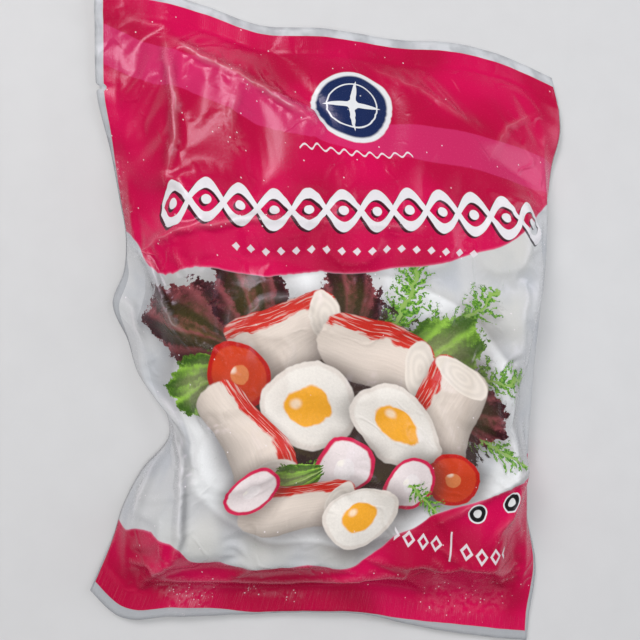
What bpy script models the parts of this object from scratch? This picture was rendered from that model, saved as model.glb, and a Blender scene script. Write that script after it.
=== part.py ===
"""A sealed film pouch of frozen crab-flavoured fish chunks, lying on its back.

Metres, +Z up. X runs across the pouch, +Y towards its top seal, and the floor
is at Z = 0. The origin is under the middle of the pouch's box.
"""

import math
import random

import bmesh
import bpy
import numpy as np
from mathutils import Matrix

MM = 0.001

# The film. The real film is thinner, so this is the least that stays solid.
FILM = 0.5 * MM
GAP = 0.3 * MM
SEAL_WIDTH = 10 * MM
SEAL_THICKNESS = 1.0 * MM
END_SEAL_WIDTH = 12 * MM
STEEPEST_SEAL = math.radians(76)

# How the two films keep apart between the seals.
RIM_DROP = 0.4 * MM
RIM_INSET = 2.8 * MM
FILMS_APART = 1.0 * MM
BACK_PRESS = 0.05 * MM
AIR_LIFT = 0.05 * MM
AIR_FROM_Y = 0.058
AIR_FADE = 0.03
CHUNK_SAG = 0.2 * MM

# The chunks, and the rows that they settle in: the row's middle, how many, and
# their size there against the largest.
CHUNK_DIAMETER = 30 * MM
CHUNK_LENGTH = 30 * MM
CHUNK_ROUNDING = 3 * MM
CHUNK_SIDES = 12
CHUNK_CLEARANCE = 0.7 * MM
CHUNK_TURN = math.radians(7)
ROW_SIDE_ROOM = 26 * MM
ROW_PROBES = 5
CHUNKS_ON_END = 0.2
SMALLEST_DRAW = 0.92
CHUNK_SEED = 5
SHARP_EDGE = math.radians(50)
HIGHEST_FILM = CHUNK_DIAMETER + 2 * FILM + 3 * CHUNK_CLEARANCE
ROWS = [
    (0.041, 5, 0.92),
    (0.0075, 5, 1.0),
    (-0.026, 4, 1.0),
    (-0.0595, 4, 1.0),
    (-0.093, 5, 0.94),
]

# The panels' squares, across and along, and the steps of the film's settling.
ACROSS = 30
ALONG = 42
SETTLING_ROUNDS = 30
STEPS_A_ROUND = 80
PROBES = (0.0, 0.25, 0.5, 0.75)
NO_LIMIT = 1.0

# The pouch's outline, in millimetres: x, y, height of the edge over the floor,
# and how steeply the seal hangs there, from 0, flat, to 1, nearly upright.
LEFT_EDGE = [
    (-101, -127, 3.0, 0.0),
    (-97, -116, 2.8, 0.0),
    (-92, -102, 2.2, 0.6),
    (-88, -87, 2.0, 0.9),
    (-80, -70, 2.0, 1.0),
    (-69, -55, 2.0, 1.0),
    (-72, -41, 2.0, 0.95),
    (-83, -28, 2.0, 0.9),
    (-90, -10, 2.4, 0.7),
    (-97, 6, 5.0, 0.3),
    (-93, 21, 3.5, 0.5),
    (-93, 36, 2.2, 0.8),
    (-97, 55, 2.2, 0.7),
    (-102, 76, 2.6, 0.5),
    (-109, 100, 3.4, 0.2),
    (-111, 124, 4.5, 0.0),
    (-112, 149, 6.0, 0.0),
]
RIGHT_EDGE = [
    (110, -149, 2.0, 0.0),
    (110.5, -136, 2.0, 0.0),
    (112, -110, 2.2, 0.5),
    (106, -86, 2.0, 0.9),
    (104, -62, 2.0, 0.95),
    (104, -30, 2.0, 0.95),
    (105, 0, 2.0, 0.95),
    (107, 32, 2.0, 0.95),
    (107, 60, 2.2, 0.9),
    (108, 84, 2.8, 0.6),
    (111, 102, 3.6, 0.2),
    (109, 115, 4.0, 0.0),
    (105, 127, 3.5, 0.0),
]
BOTTOM_EDGE = [
    (-101, -127, 3.0),
    (-90, -137, 3.4),
    (-62, -138, 4.6),
    (-28, -137, 3.4),
    (6, -135, 5.0),
    (30, -136, 5.2),
    (50, -141, 3.6),
    (80, -146, 2.8),
    (110, -149, 2.0),
]
TOP_EDGE = [
    (-112, 149, 6.0),
    (-85, 149, 4.5),
    (-63, 146, 2.2),
    (-40, 139.5, 3.0),
    (-5, 139.5, 5.5),
    (25, 138.5, 3.0),
    (60, 138.5, 4.6),
    (88, 133.5, 2.6),
    (105, 127, 3.5),
]

# The tear notch in the left seal: where along Y, and its depth and width.
NOTCH_Y = 0.104
NOTCH_DEPTH = 3 * MM
NOTCH_WIDTH = 3 * MM

# Ridges folded into the front film, in millimetres: height, width, and points.
# They fade out over the last twelfth of the panel before each seal.
RIDGE_FADE = 1 / 12
RIDGES = [
    (3.0, 9.0, [(-78, 127), (-74, 103), (-71, 79), (-73, 63)]),
    (3.0, 10.0, [(-78, 127), (-63, 118), (-38, 109), (-17, 95), (-8, 88)]),
    (2.0, 10.0, [(20, 122), (42, 111), (67, 94)]),
    (2.0, 8.0, [(-98, -118), (-87, -104), (-82, -90), (-72, -66)]),
    (2.0, 7.0, [(-70, -117), (-33, -117), (-10, -118), (18, -112), (41, -112)]),
]

MATERIALS = {
    "printed_film": ((0.60, 0.02, 0.10), 0.22),
    "back_film": ((0.78, 0.76, 0.76), 0.25),
    "seal_film": ((0.66, 0.20, 0.28), 0.3),
    "surimi": ((0.86, 0.80, 0.70), 0.55),
}


def clear_scene():
    for old in list(bpy.data.objects):
        bpy.data.objects.remove(old, do_unlink=True)


def material(name):
    made = bpy.data.materials.get(name)
    if made:
        return made
    colour, roughness = MATERIALS[name]
    made = bpy.data.materials.new(name)
    made.use_nodes = True
    shader = made.node_tree.nodes["Principled BSDF"]
    shader.inputs["Base Color"].default_value = (*colour, 1.0)
    shader.inputs["Roughness"].default_value = roughness
    shader.inputs["Metallic"].default_value = 0.0
    return made


def curve_through(points, along, column):
    """A smooth function through one column of the points, read along another."""
    xs = np.array([point[along] for point in points], float) * MM
    ys = np.array([point[column] for point in points], float)
    slopes = np.gradient(ys, xs)

    def read(x):
        x = np.clip(x, xs[0], xs[-1])
        i = np.clip(np.searchsorted(xs, x, side="right") - 1, 0, len(xs) - 2)
        span = xs[i + 1] - xs[i]
        t = (x - xs[i]) / span
        start = (1 + 2 * t) * (1 - t) ** 2 * ys[i] + t * (1 - t) ** 2 * span * slopes[i]
        end = t * t * (3 - 2 * t) * ys[i + 1] + t * t * (t - 1) * span * slopes[i + 1]
        return start + end

    return read


def side_edge(points):
    """x, edge height, lean and slant of a side edge, each as a function of y.

    The slant is how much wider a cut along X is there than one across the edge.
    """
    x = curve_through(points, 1, 0)
    height = curve_through(points, 1, 2)
    lean = curve_through(points, 1, 3)
    return (
        lambda y: x(y) * MM,
        lambda y: height(y) * MM,
        lambda y: np.clip(lean(y), 0, 1) * STEEPEST_SEAL,
        lambda y: np.hypot(1, (x(y + MM) - x(y - MM)) / 2),
    )


def end_edge(points):
    """y and edge height of the top or bottom edge, each as a function of x."""
    y = curve_through(points, 0, 1)
    height = curve_through(points, 0, 2)
    return lambda x: y(x) * MM, lambda x: height(x) * MM


LEFT_X, LEFT_HEIGHT, LEFT_LEAN, LEFT_SLANT = side_edge(LEFT_EDGE)
RIGHT_X, RIGHT_HEIGHT, RIGHT_LEAN, RIGHT_SLANT = side_edge(RIGHT_EDGE)
BOTTOM_Y, BOTTOM_HEIGHT = end_edge(BOTTOM_EDGE)
TOP_Y, TOP_HEIGHT = end_edge(TOP_EDGE)


def blend(a, b, t):
    return a + (b - a) * t


def side_y(v, edge):
    return blend(edge[0][1], edge[-1][1], v) * MM


def end_x(u, edge):
    return blend(edge[0][0], edge[-1][0], u) * MM


def place_on_pouch(u, v):
    """x and y of a point of the flat outline: u from left to right, v upwards."""
    left_y = side_y(v, LEFT_EDGE)
    right_y = side_y(v, RIGHT_EDGE)
    bottom_x = end_x(u, BOTTOM_EDGE)
    top_x = end_x(u, TOP_EDGE)
    corners = [
        [LEFT_EDGE[0][:2], RIGHT_EDGE[0][:2]],
        [LEFT_EDGE[-1][:2], RIGHT_EDGE[-1][:2]],
    ]

    def patch(left, right, bottom, top, axis):
        low = blend(corners[0][0][axis] * MM, corners[0][1][axis] * MM, u)
        high = blend(corners[1][0][axis] * MM, corners[1][1][axis] * MM, u)
        return blend(left, right, u) + blend(bottom, top, v) - blend(low, high, v)

    x = patch(LEFT_X(left_y), RIGHT_X(right_y), bottom_x, top_x, 0)
    y = patch(left_y, right_y, BOTTOM_Y(bottom_x), TOP_Y(top_x), 1)
    return x, y


def width_at(v):
    left = LEFT_X(side_y(v, LEFT_EDGE))
    return RIGHT_X(side_y(v, RIGHT_EDGE)) - left


def length_at(u):
    return TOP_Y(end_x(u, TOP_EDGE)) - BOTTOM_Y(end_x(u, BOTTOM_EDGE))


def left_inset(y, inset=0.0):
    return (SEAL_WIDTH * np.cos(LEFT_LEAN(y)) + inset) * LEFT_SLANT(y)


def right_inset(y, inset=0.0):
    return (SEAL_WIDTH * np.cos(RIGHT_LEAN(y)) + inset) * RIGHT_SLANT(y)


def seal_line(s, t, inset=0.0):
    """u and v of a panel's point, with s and t from 0 to 1 between the seals."""
    v = t
    for _ in range(3):
        first = left_inset(side_y(v, LEFT_EDGE), inset) / width_at(v)
        last = 1 - right_inset(side_y(v, RIGHT_EDGE), inset) / width_at(v)
        u = blend(first, last, s)
        margin = (END_SEAL_WIDTH + inset) / length_at(u)
        v = blend(margin, 1 - margin, t)
    return u, v


def seal_height(u, v):
    """Height of the seals' middle line, at the inner end of each seal."""
    left_y = side_y(v, LEFT_EDGE)
    right_y = side_y(v, RIGHT_EDGE)
    left = LEFT_HEIGHT(left_y) + SEAL_WIDTH * np.sin(LEFT_LEAN(left_y))
    right = RIGHT_HEIGHT(right_y) + SEAL_WIDTH * np.sin(RIGHT_LEAN(right_y))
    bottom = BOTTOM_HEIGHT(end_x(u, BOTTOM_EDGE))
    top = TOP_HEIGHT(end_x(u, TOP_EDGE))
    return left, right, bottom, top


def chunk_middle(size):
    return FILM + CHUNK_CLEARANCE + size * CHUNK_DIAMETER / 2


def chunk_places():
    """Each chunk's middle, its turn about Z, its size, and whether it stands up."""
    draw = random.Random(CHUNK_SEED)
    places = []
    for y, count, row_size in ROWS:
        beside = y + np.linspace(-0.5, 0.5, ROW_PROBES) * CHUNK_LENGTH
        left = np.max(LEFT_X(beside) + left_inset(beside)) + ROW_SIDE_ROOM
        right = np.min(RIGHT_X(beside) - right_inset(beside)) - ROW_SIDE_ROOM
        for i in range(count):
            x = float(blend(left, right, i / (count - 1)))
            turn = draw.uniform(-CHUNK_TURN, CHUNK_TURN) + draw.choice((0, math.pi / 2))
            size = row_size * draw.uniform(SMALLEST_DRAW, 1)
            places.append((x, y, turn, size, draw.random() < CHUNKS_ON_END))
    return places


def chunk_reach(place, x, y):
    """How far the chunk, grown by its clearance, reaches up and down at x, y."""
    middle_x, middle_y, turn, size, stands = place
    radius = size * CHUNK_DIAMETER / 2
    half = size * CHUNK_LENGTH / 2
    rounding = size * CHUNK_ROUNDING
    grown = rounding + CHUNK_CLEARANCE
    along = np.abs((x - middle_x) * math.cos(turn) + (y - middle_y) * math.sin(turn))
    across = np.abs((y - middle_y) * math.cos(turn) - (x - middle_x) * math.sin(turn))

    def rounded(full, past):
        """What is left of a half size past the start of its rounded corner."""
        left_over = np.clip(grown**2 - np.clip(past, 0, None) ** 2, 0, None)
        return np.where(past <= grown, full - rounding + np.sqrt(left_over), -1)

    if stands:
        return rounded(half, np.hypot(along, across) - (radius - rounding))
    ring = rounded(radius, along - (half - rounding))
    return np.where(ring > across, np.sqrt(np.clip(ring**2 - across**2, 0, None)), -1)


def chunk_limits(places, x, y):
    """The highest that the back film may be, and the lowest that the front may."""
    under = np.full(x.shape, NO_LIMIT)
    over = np.full(x.shape, -NO_LIMIT)
    for place in places:
        reach = chunk_reach(place, x, y)
        there = reach > 0
        middle = chunk_middle(place[3])
        under = np.where(there, np.minimum(under, middle - reach), under)
        over = np.where(there, np.maximum(over, middle + reach), over)
    return under, over


def between(grid, s, t):
    """The values a part of the way into each square, as its corners give them."""
    low = blend(grid[:-1, :-1], grid[:-1, 1:], s)
    high = blend(grid[1:, :-1], grid[1:, 1:], s)
    return blend(low, high, t)


def spread_to_corners(grid, change, pick):
    """Takes each square's change to its four corners."""
    rows, columns = change.shape
    for i in (0, 1):
        for j in (0, 1):
            corner = grid[i : i + rows, j : j + columns]
            corner[:] = pick(corner, change)


def settle(height, lift, lowest, highest, probe):
    """Stretches a film between its fixed rim and the limits on its height."""
    for _ in range(SETTLING_ROUNDS):
        probe(height, lowest, highest)
        for _ in range(STEPS_A_ROUND):
            around = height[:-2, 1:-1] + height[2:, 1:-1]
            around = around + height[1:-1, :-2] + height[1:-1, 2:]
            moved = np.minimum(around / 4 + lift, highest[1:-1, 1:-1])
            height[1:-1, 1:-1] = np.maximum(moved, lowest[1:-1, 1:-1])
    return height


def rim_height(u, v, start):
    """A first height for a film: level inside, and at the seals round its rim."""
    left, right, bottom, top = seal_height(u, v)
    height = np.full(u.shape, start)
    height[:, 0] = left[:, 0]
    height[:, -1] = right[:, -1]
    height[0, :] = bottom[0, :]
    height[-1, :] = top[-1, :]
    for row, end in ((0, bottom), (-1, top)):
        for column, side in ((0, left), (-1, right)):
            height[row, column] = (end[row, column] + side[row, column]) / 2
    return height


def ridge_height(x, y):
    """What the folded ridges add to the front film."""
    added = np.zeros(x.shape)
    for height, width, points in RIDGES:
        nearest = np.full(x.shape, NO_LIMIT)
        for (ax, ay), (bx, by) in zip(points, points[1:]):
            step_x, step_y = (bx - ax) * MM, (by - ay) * MM
            t = ((x - ax * MM) * step_x + (y - ay * MM) * step_y) / (step_x**2 + step_y**2)
            t = np.clip(t, 0, 1)
            away = np.hypot(x - ax * MM - t * step_x, y - ay * MM - t * step_y)
            nearest = np.minimum(nearest, away)
        added = np.maximum(added, height * MM * np.clip(1 - nearest / (width * MM), 0, 1))
    return added


def film_shapes(places):
    """The inner faces of the back and the front film, as (x, y, z) grids."""
    t, s = np.meshgrid(np.linspace(0, 1, ALONG + 1), np.linspace(0, 1, ACROSS + 1), indexing="ij")

    back_u, back_v = seal_line(s, t, RIM_INSET)
    back_x, back_y = place_on_pouch(back_u, back_v)
    front_u, front_v = seal_line(s, t)
    front_x, front_y = place_on_pouch(front_u, front_v)

    def probe_back(height, lowest, highest):
        for i in PROBES:
            for j in PROBES:
                under, _ = chunk_limits(places, between(back_x, i, j), between(back_y, i, j))
                over = np.maximum(between(height, i, j) - under, 0)
                limit = np.where(over > 0, under - over, NO_LIMIT)
                spread_to_corners(highest, limit, np.minimum)
        np.maximum(highest, lowest, out=highest)

    def probe_front(height, lowest, highest):
        for i in PROBES:
            for j in PROBES:
                _, over = chunk_limits(places, between(front_x, i, j), between(front_y, i, j))
                short = np.maximum(over - between(height, i, j), 0)
                raised = np.zeros(height.shape)
                spread_to_corners(raised, short, np.maximum)
                needed = np.where(raised > 0, height + raised, lowest)
                np.maximum(lowest, np.minimum(needed, HIGHEST_FILM), out=lowest)

    floor = np.full(s.shape, FILM)
    back = rim_height(back_u, back_v, FILM)
    back[[0, -1], :] -= RIM_DROP
    back[1:-1, [0, -1]] -= RIM_DROP
    back_highest = chunk_limits(places, back_x, back_y)[0]
    back = settle(back, -BACK_PRESS, floor, back_highest, probe_back)

    front = rim_height(front_u, front_v, FILM + FILMS_APART)
    front_lowest = np.maximum(chunk_limits(places, front_x, front_y)[1], back + FILMS_APART)
    free = np.full(s.shape, NO_LIMIT)
    empty = np.clip((front_y[1:-1, 1:-1] - AIR_FROM_Y) / AIR_FADE, 0, 1)
    front = settle(front, blend(-CHUNK_SAG, AIR_LIFT, empty), front_lowest, free, probe_front)
    from_rim = np.minimum(np.minimum(s, 1 - s), np.minimum(t, 1 - t))
    fade = np.clip(from_rim / RIDGE_FADE, 0, 1)
    front = front + ridge_height(front_x, front_y) * fade
    return (back_x, back_y, back), (front_x, front_y, front)


def put_in_scene(name, mesh, material_name):
    mesh.materials.append(material(material_name))
    made = bpy.data.objects.new(name, mesh)
    bpy.context.scene.collection.objects.link(made)
    return made


def sheet(name, x, y, z, material_name, thickness, offset, taken=()):
    """A sheet over a grid of points, thickened to one side or to both."""
    rows, columns = x.shape
    bm = bmesh.new()
    points = [
        [bm.verts.new((x[i, j], y[i, j], z[i, j])) for j in range(columns)] for i in range(rows)
    ]
    for i in range(rows - 1):
        for j in range(columns - 1):
            if (i, j) not in taken:
                corners = (points[i][j], points[i][j + 1], points[i + 1][j + 1], points[i + 1][j])
                bm.faces.new(corners)
    bmesh.ops.triangulate(bm, faces=bm.faces[:], quad_method="FIXED")
    mesh = bpy.data.meshes.new(name)
    bm.to_mesh(mesh)
    bm.free()
    mesh.shade_smooth()
    made = put_in_scene(name, mesh, material_name)
    solidify = made.modifiers.new("Thickness", "SOLIDIFY")
    solidify.thickness = thickness
    solidify.offset = offset
    return made


def build_panels(places):
    back, front = film_shapes(places)
    sheet("back_panel", *back, "back_film", FILM, -1)
    sheet("front_panel", *front, "printed_film", FILM, 1)


def end_seal(name, top):
    """The top or bottom seal, flat across the whole width."""
    u, step = np.meshgrid(np.linspace(0, 1, ACROSS + 1), (0, 1))
    inner = (END_SEAL_WIDTH - GAP - FILM) / length_at(u)
    v = 1 - inner * (1 - step) if top else inner * step
    x, y = place_on_pouch(u, v)
    height = TOP_HEIGHT(end_x(u, TOP_EDGE)) if top else BOTTOM_HEIGHT(end_x(u, BOTTOM_EDGE))
    sheet(name, x, y, height, "seal_film", SEAL_THICKNESS, 0)


def side_seal(name, left, notched):
    """A side seal, which hangs from the panels' rim down to the pouch's edge."""
    edge = LEFT_EDGE if left else RIGHT_EDGE
    edge_height, lean = (LEFT_HEIGHT, LEFT_LEAN) if left else (RIGHT_HEIGHT, RIGHT_LEAN)
    margin = END_SEAL_WIDTH / length_at(0.0 if left else 1.0)
    rows = blend(margin, 1 - margin, np.linspace(0, 1, ALONG + 1))
    if notched:
        cut = NOTCH_Y + np.array([-0.5, 0, 0.5]) * NOTCH_WIDTH
        rows = np.union1d(rows, (cut - edge[0][1] * MM) / ((edge[-1][1] - edge[0][1]) * MM))
    v, out = np.meshgrid(rows, (0, 1), indexing="ij")
    y = side_y(v, edge)
    share = 1 - (GAP + FILM * np.cos(lean(y))) / SEAL_WIDTH
    drop = SEAL_WIDTH * np.sin(lean(y)) * share
    inset = left_inset(y) if left else right_inset(y)
    u = inset * share / width_at(v) * (1 - out)
    if not left:
        u = 1 - u
    x, y_on = place_on_pouch(u, v)
    height = edge_height(y) + drop * (1 - out)
    if notched:
        depth = NOTCH_DEPTH * np.clip(1 - np.abs(y - NOTCH_Y) / (NOTCH_WIDTH / 2), 0, 1)
        x = x + depth * out
    if not left:
        x, y_on, height = x[:, ::-1], y_on[:, ::-1], height[:, ::-1]
    sheet(name, x[:, ::-1], y_on[:, ::-1], height[:, ::-1], "seal_film", SEAL_THICKNESS, 0)


def chunk_mesh():
    """A rounded cylinder about X, with its end faces flat."""
    bm = bmesh.new()
    bmesh.ops.create_cone(
        bm,
        cap_ends=True,
        segments=CHUNK_SIDES,
        radius1=CHUNK_DIAMETER / 2,
        radius2=CHUNK_DIAMETER / 2,
        depth=CHUNK_LENGTH,
        matrix=Matrix.Rotation(math.pi / 2, 4, "Y"),
    )
    rims = [edge for edge in bm.edges if any(len(face.verts) > 4 for face in edge.link_faces)]
    bmesh.ops.bevel(
        bm,
        geom=rims,
        offset=CHUNK_ROUNDING,
        segments=1,
        profile=0.5,
        affect="EDGES",
        material=-1,
    )
    mesh = bpy.data.meshes.new("chunk")
    bm.to_mesh(mesh)
    bm.free()
    mesh.shade_smooth()
    mesh.set_sharp_from_angle(angle=SHARP_EDGE)
    mesh.materials.append(material("surimi"))
    return mesh


def build_chunks(places):
    shared = chunk_mesh()
    for number, (x, y, turn, size, stands) in enumerate(places, start=1):
        made = bpy.data.objects.new(f"chunk_{number:02d}", shared)
        made.location = (x, y, chunk_middle(size))
        made.rotation_euler = (0, math.pi / 2 if stands else 0, turn)
        made.scale = (size, size, size)
        bpy.context.scene.collection.objects.link(made)


def build():
    clear_scene()
    places = chunk_places()
    build_panels(places)
    end_seal("seal_top", top=True)
    end_seal("seal_bottom", top=False)
    side_seal("seal_left", left=True, notched=True)
    side_seal("seal_right", left=False, notched=False)
    build_chunks(places)


build()
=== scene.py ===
import functools
import math

import bmesh
import bpy
import numpy as np
from mathutils import Matrix, Vector
from mathutils.bvhtree import BVHTree


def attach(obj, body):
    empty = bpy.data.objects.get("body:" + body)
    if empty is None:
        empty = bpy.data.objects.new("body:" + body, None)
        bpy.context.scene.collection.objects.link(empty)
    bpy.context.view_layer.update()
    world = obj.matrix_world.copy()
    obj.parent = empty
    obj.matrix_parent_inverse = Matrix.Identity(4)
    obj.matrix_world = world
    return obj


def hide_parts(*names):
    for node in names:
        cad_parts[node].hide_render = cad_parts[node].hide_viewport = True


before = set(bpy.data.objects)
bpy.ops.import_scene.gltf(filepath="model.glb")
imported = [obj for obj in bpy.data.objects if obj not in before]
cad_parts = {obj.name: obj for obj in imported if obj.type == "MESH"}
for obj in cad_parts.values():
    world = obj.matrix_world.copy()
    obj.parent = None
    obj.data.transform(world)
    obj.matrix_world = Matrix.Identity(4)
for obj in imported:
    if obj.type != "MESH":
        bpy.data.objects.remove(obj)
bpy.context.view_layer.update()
mm = 0.001

# the pouch's outline in millimetres: x, y, height of the edge, and how steeply the seal hangs
# there, from 0, flat, to 1, nearly upright
outline = {
    "left": [
        (-101, -127, 3.0, 0.0), (-97, -116, 2.8, 0.0), (-92, -102, 2.2, 0.6), (-88, -87, 2.0, 0.9),
        (-80, -70, 2.0, 1.0), (-69, -55, 2.0, 1.0), (-72, -41, 2.0, 0.95), (-83, -28, 2.0, 0.9),
        (-90, -10, 2.4, 0.7), (-97, 6, 5.0, 0.3), (-93, 21, 3.5, 0.5), (-93, 36, 2.2, 0.8),
        (-97, 55, 2.2, 0.7), (-102, 76, 2.6, 0.5), (-109, 100, 3.4, 0.2), (-111, 124, 4.5, 0.0),
        (-112, 149, 6.0, 0.0),
    ],
    "right": [
        (110, -149, 2.0, 0.0), (110.5, -136, 2.0, 0.0), (112, -110, 2.2, 0.5), (106, -86, 2.0, 0.9),
        (104, -62, 2.0, 0.95), (104, -30, 2.0, 0.95), (105, 0, 2.0, 0.95), (107, 32, 2.0, 0.95),
        (107, 60, 2.2, 0.9), (108, 84, 2.8, 0.6), (111, 102, 3.6, 0.2), (109, 115, 4.0, 0.0),
        (105, 127, 3.5, 0.0),
    ],
    "bottom": [
        (-101, -127, 3.0), (-90, -137, 3.4), (-62, -138, 4.6), (-28, -137, 3.4), (6, -135, 5.0),
        (30, -136, 5.2), (50, -141, 3.6), (80, -146, 2.8), (110, -149, 2.0),
    ],
    "top": [
        (-112, 149, 6.0), (-85, 149, 4.5), (-63, 146, 2.2), (-40, 139.5, 3.0), (-5, 139.5, 5.5),
        (25, 138.5, 3.0), (60, 138.5, 4.6), (88, 133.5, 2.6), (105, 127, 3.5),
    ],
}
seals = {
    "sideWidth": 10 * mm,
    "endWidth": 12 * mm,
    "steepest": math.radians(76),
    "thickness": 0.25 * mm,
    "ripple": 0.35 * mm,
    "cellsAcross": 6,
    "endCells": 8,
    "alongSide": 261,
    "alongEnd": 221,
    "notchY": 0.104,
    "notchDepth": 3 * mm,
    "notchWidth": 3 * mm,
}
film = {
    "thickness": 0.12 * mm,
    "coarse": (77, 56),
    "fine": (221, 167),
    "quick": (115, 84),
    "steps": (220, 70),
    "passes": 6,
    "damping": 0.9,
    "panelSize": (0.204, 0.266),
    "lift": 0.2 * mm,
    "smoothing": 6,
    "askew": 0.6,
    "bend": 0.25,
    "fineBend": 0.6,
    "sideShare": 0.2,
    "seed": 3,
}
# how the front film settles: spare lengths where the pouch is empty, at its foot and at its sides
frontSettling = {
    "drop": 0.5 * mm,
    "clearance": 0.3 * mm,
    "lowest": 1.2 * mm,
    "sink": 0.8 * mm,
    "emptyFrom": 0.05,
    "emptyOver": 0.06,
    "footFrom": 0.09,
    "footOver": 0.03,
    "rimSlope": 14,
    "spare": 0.007,
    "emptySpare": (0.015, 0.006),
    "footSpare": (0.012, 0.05),
    "sideSpare": 0.010,
    "uneven": 0.2 * mm,
    "liftFrom": 0.06,
    "lift": 2e-6,
    "press": 6e-6,
    "footPress": 1.4e-5,
}
backSettling = {
    "rise": 0.3 * mm,
    "clearance": 0.3 * mm,
    "overFloor": 0.05 * mm,
    "spare": (0.012, 0.01),
    "sideSpare": 0.03,
    "uneven": 0.3 * mm,
    "press": 4e-6,
}
# the ridge under a fold that holds the front film up, in millimetres
prop = {"endFade": 14, "endShare": 0.15, "drop": 0.8, "fall": 0.4, "flatTo": 2.2, "reach": 4.5, "lowest": 1}
# creases that hold the front film up along a line, in millimetres: height, width, points
foldLines = [
    (3.4, 12, [(-80, 129), (-76, 112), (-72, 96), (-71, 79), (-74, 62)]),
    (3.2, 12, [(-80, 129), (-63, 119), (-45, 111), (-29, 103), (-12, 92), (-2, 84)]),
    (1.6, 10, [(-44, 110), (-47, 92), (-46, 78)]),
    (1.6, 10, [(14, 124), (38, 113), (64, 95)]),
    (1.4, 9, [(96, 108), (80, 98), (72, 84)]),
    (1.8, 8, [(-104, -122), (-95, -110), (-84, -90), (-76, -70)]),
    (1.8, 8, [(-74, -117), (-33, -117), (-10, -118), (18, -113), (41, -112)]),
    (1.5, 7, [(-88, 28), (-69, 39), (-37, 46), (-15, 47), (5, 47), (39, 47)]),
    (2.2, 8, [(-93, 36), (-82, 26), (-74, 12), (-68, 0), (-60, -8)]),
    (1.6, 6, [(-96, 10), (-88, 5), (-84, -6), (-80, -18)]),
    (1.5, 6, [(-40, -2), (-35, 5), (-29, 11), (-22, 13), (-9, 15)]),
    (2.2, 7, [(-68, -44), (-61, -60), (-60, -76), (-60, -93), (-62, -104)]),
    (1.6, 6, [(96, -59), (78, -70), (57, -84)]),
    (1.4, 6, [(96, -66), (90, -80), (78, -92)]),
    (1.4, 6, [(-58, -100), (-70, -112), (-78, -124)]),
]
# sharp creases drawn into the film's surface, in millimetres: sharpness, glint, points; the glint sets a
# painted highlight along the crease, and the sharpness also sets a painted shade on one side of it
creaseLines = [
    (1.0, 0.9, [(-74, 62), (-71, 79), (-72, 96), (-76, 112), (-80, 129)]),
    (1.0, 1.0, [(-80, 129), (-63, 119), (-45, 111), (-29, 103), (-12, 92)]),
    (0.5, 0.5, [(-44, 110), (-47, 92), (-46, 78)]),
    (0.4, 0.3, [(14, 124), (38, 113), (64, 95)]),
    (0.6, 0.5, [(-88, 28), (-69, 39), (-37, 46), (-15, 47)]),
    (0.3, 0.3, [(5, 47), (39, 47)]),
    (1.6, 1.0, [(-90, 34), (-79, 24), (-74, 11), (-67, -1), (-60, -8)]),
    (1.3, 1.0, [(-96, 9), (-88, 4), (-84, -8), (-80, -18)]),
    (0.6, 0.7, [(-43, 9), (-45, -11)]),
    (0.7, 0.7, [(-39, -2), (-35, 5), (-29, 11), (-22, 13), (-9, 15)]),
    (2.2, 0.8, [(-68, -44), (-61, -60), (-60, -76), (-60, -93), (-62, -104)]),
    (1.2, 0.9, [(-71, -58), (-78, -74), (-81, -85), (-82, -92)]),
    (1.4, 0.3, [(-62, -104), (-70, -112), (-78, -124)]),
    (0.9, 0.4, [(-74, -117), (-33, -117), (-10, -118), (18, -113), (41, -112)]),
    (0.6, 0.8, [(-90, -98), (-93, -104), (-97, -117)]),
    (0.6, 0.4, [(96, -59), (78, -70), (57, -84)]),
    (0.5, 0.3, [(96, -66), (90, -80), (78, -92)]),
    (0.4, 0.3, [(22, -98), (36, -90), (50, -88)]),
    (0.4, 0.4, [(96, 108), (80, 98), (72, 84)]),
]
crease = {
    "reach": 5.0,
    "endFade": 12.0,
    "endShare": 0.2,
    "farAway": 8.0,
    "halfWidth": 2.6,
    "height": 0.4 * mm,
}
# frost and rubbed ink on the front film, where painted glint specks also gather, in millimetres: strength,
# width, points
frostLines = [
    (0.6, 7, [(-48, 84), (-44, 78)]),
    (0.7, 3.5, [(-44, 108), (-41, 107)]),
    (0.8, 5, [(-99, 70), (-97, 58), (-93, 48)]),
    (0.4, 3.5, [(-80, 30), (-69, 39), (-37, 47), (-15, 47), (5, 47), (39, 47)]),
    (1.0, 8, [(-66, -124), (-52, -131)]),
    (0.7, 9, [(-60, -136), (-46, -120)]),
    (0.5, 4, [(-30, -125), (-4, -128)]),
    (0.6, 6, [(60, -113), (64, -122)]),
    (0.5, 5, [(80, -116), (98, -116)]),
    (0.45, 12, [(62, -130), (92, -128)]),
]
filmMarkSettings = {
    "rim": 0.01,
    "crestBend": 0.22 * mm,
    "crestFrom": 0.5,
    "contactFull": 1.2,
    "contactReach": 1.8 * mm,
    "contactPasses": 16,
    "noChunk": -0.02,
    "faintlyFused": 0.06,
}
# the food picture's box on the flat print, in millimetres: left, right, low and high
pictureBox = (-97, 100, -108, 38)


def mix(a, b, t):
    return a + (b - a) * t


def unit(value):
    # held between 0 and 1
    return np.clip(value, 0, 1)


def curveThrough(points, along, column):
    # a smooth curve of one column of the points against another, in metres along it
    xs = np.array([p[along] for p in points], float) * mm
    ys = np.array([p[column] for p in points], float)
    slopes = np.gradient(ys, xs)

    def read(x):
        x = np.clip(x, xs[0], xs[-1])
        i = np.clip(np.searchsorted(xs, x, side="right") - 1, 0, len(xs) - 2)
        span = xs[i + 1] - xs[i]
        t = (x - xs[i]) / span
        start = (1 + 2 * t) * (1 - t) ** 2 * ys[i] + t * (1 - t) ** 2 * span * slopes[i]
        end = t * t * (3 - 2 * t) * ys[i + 1] + t * t * (t - 1) * span * slopes[i + 1]
        return start + end

    return read


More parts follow.
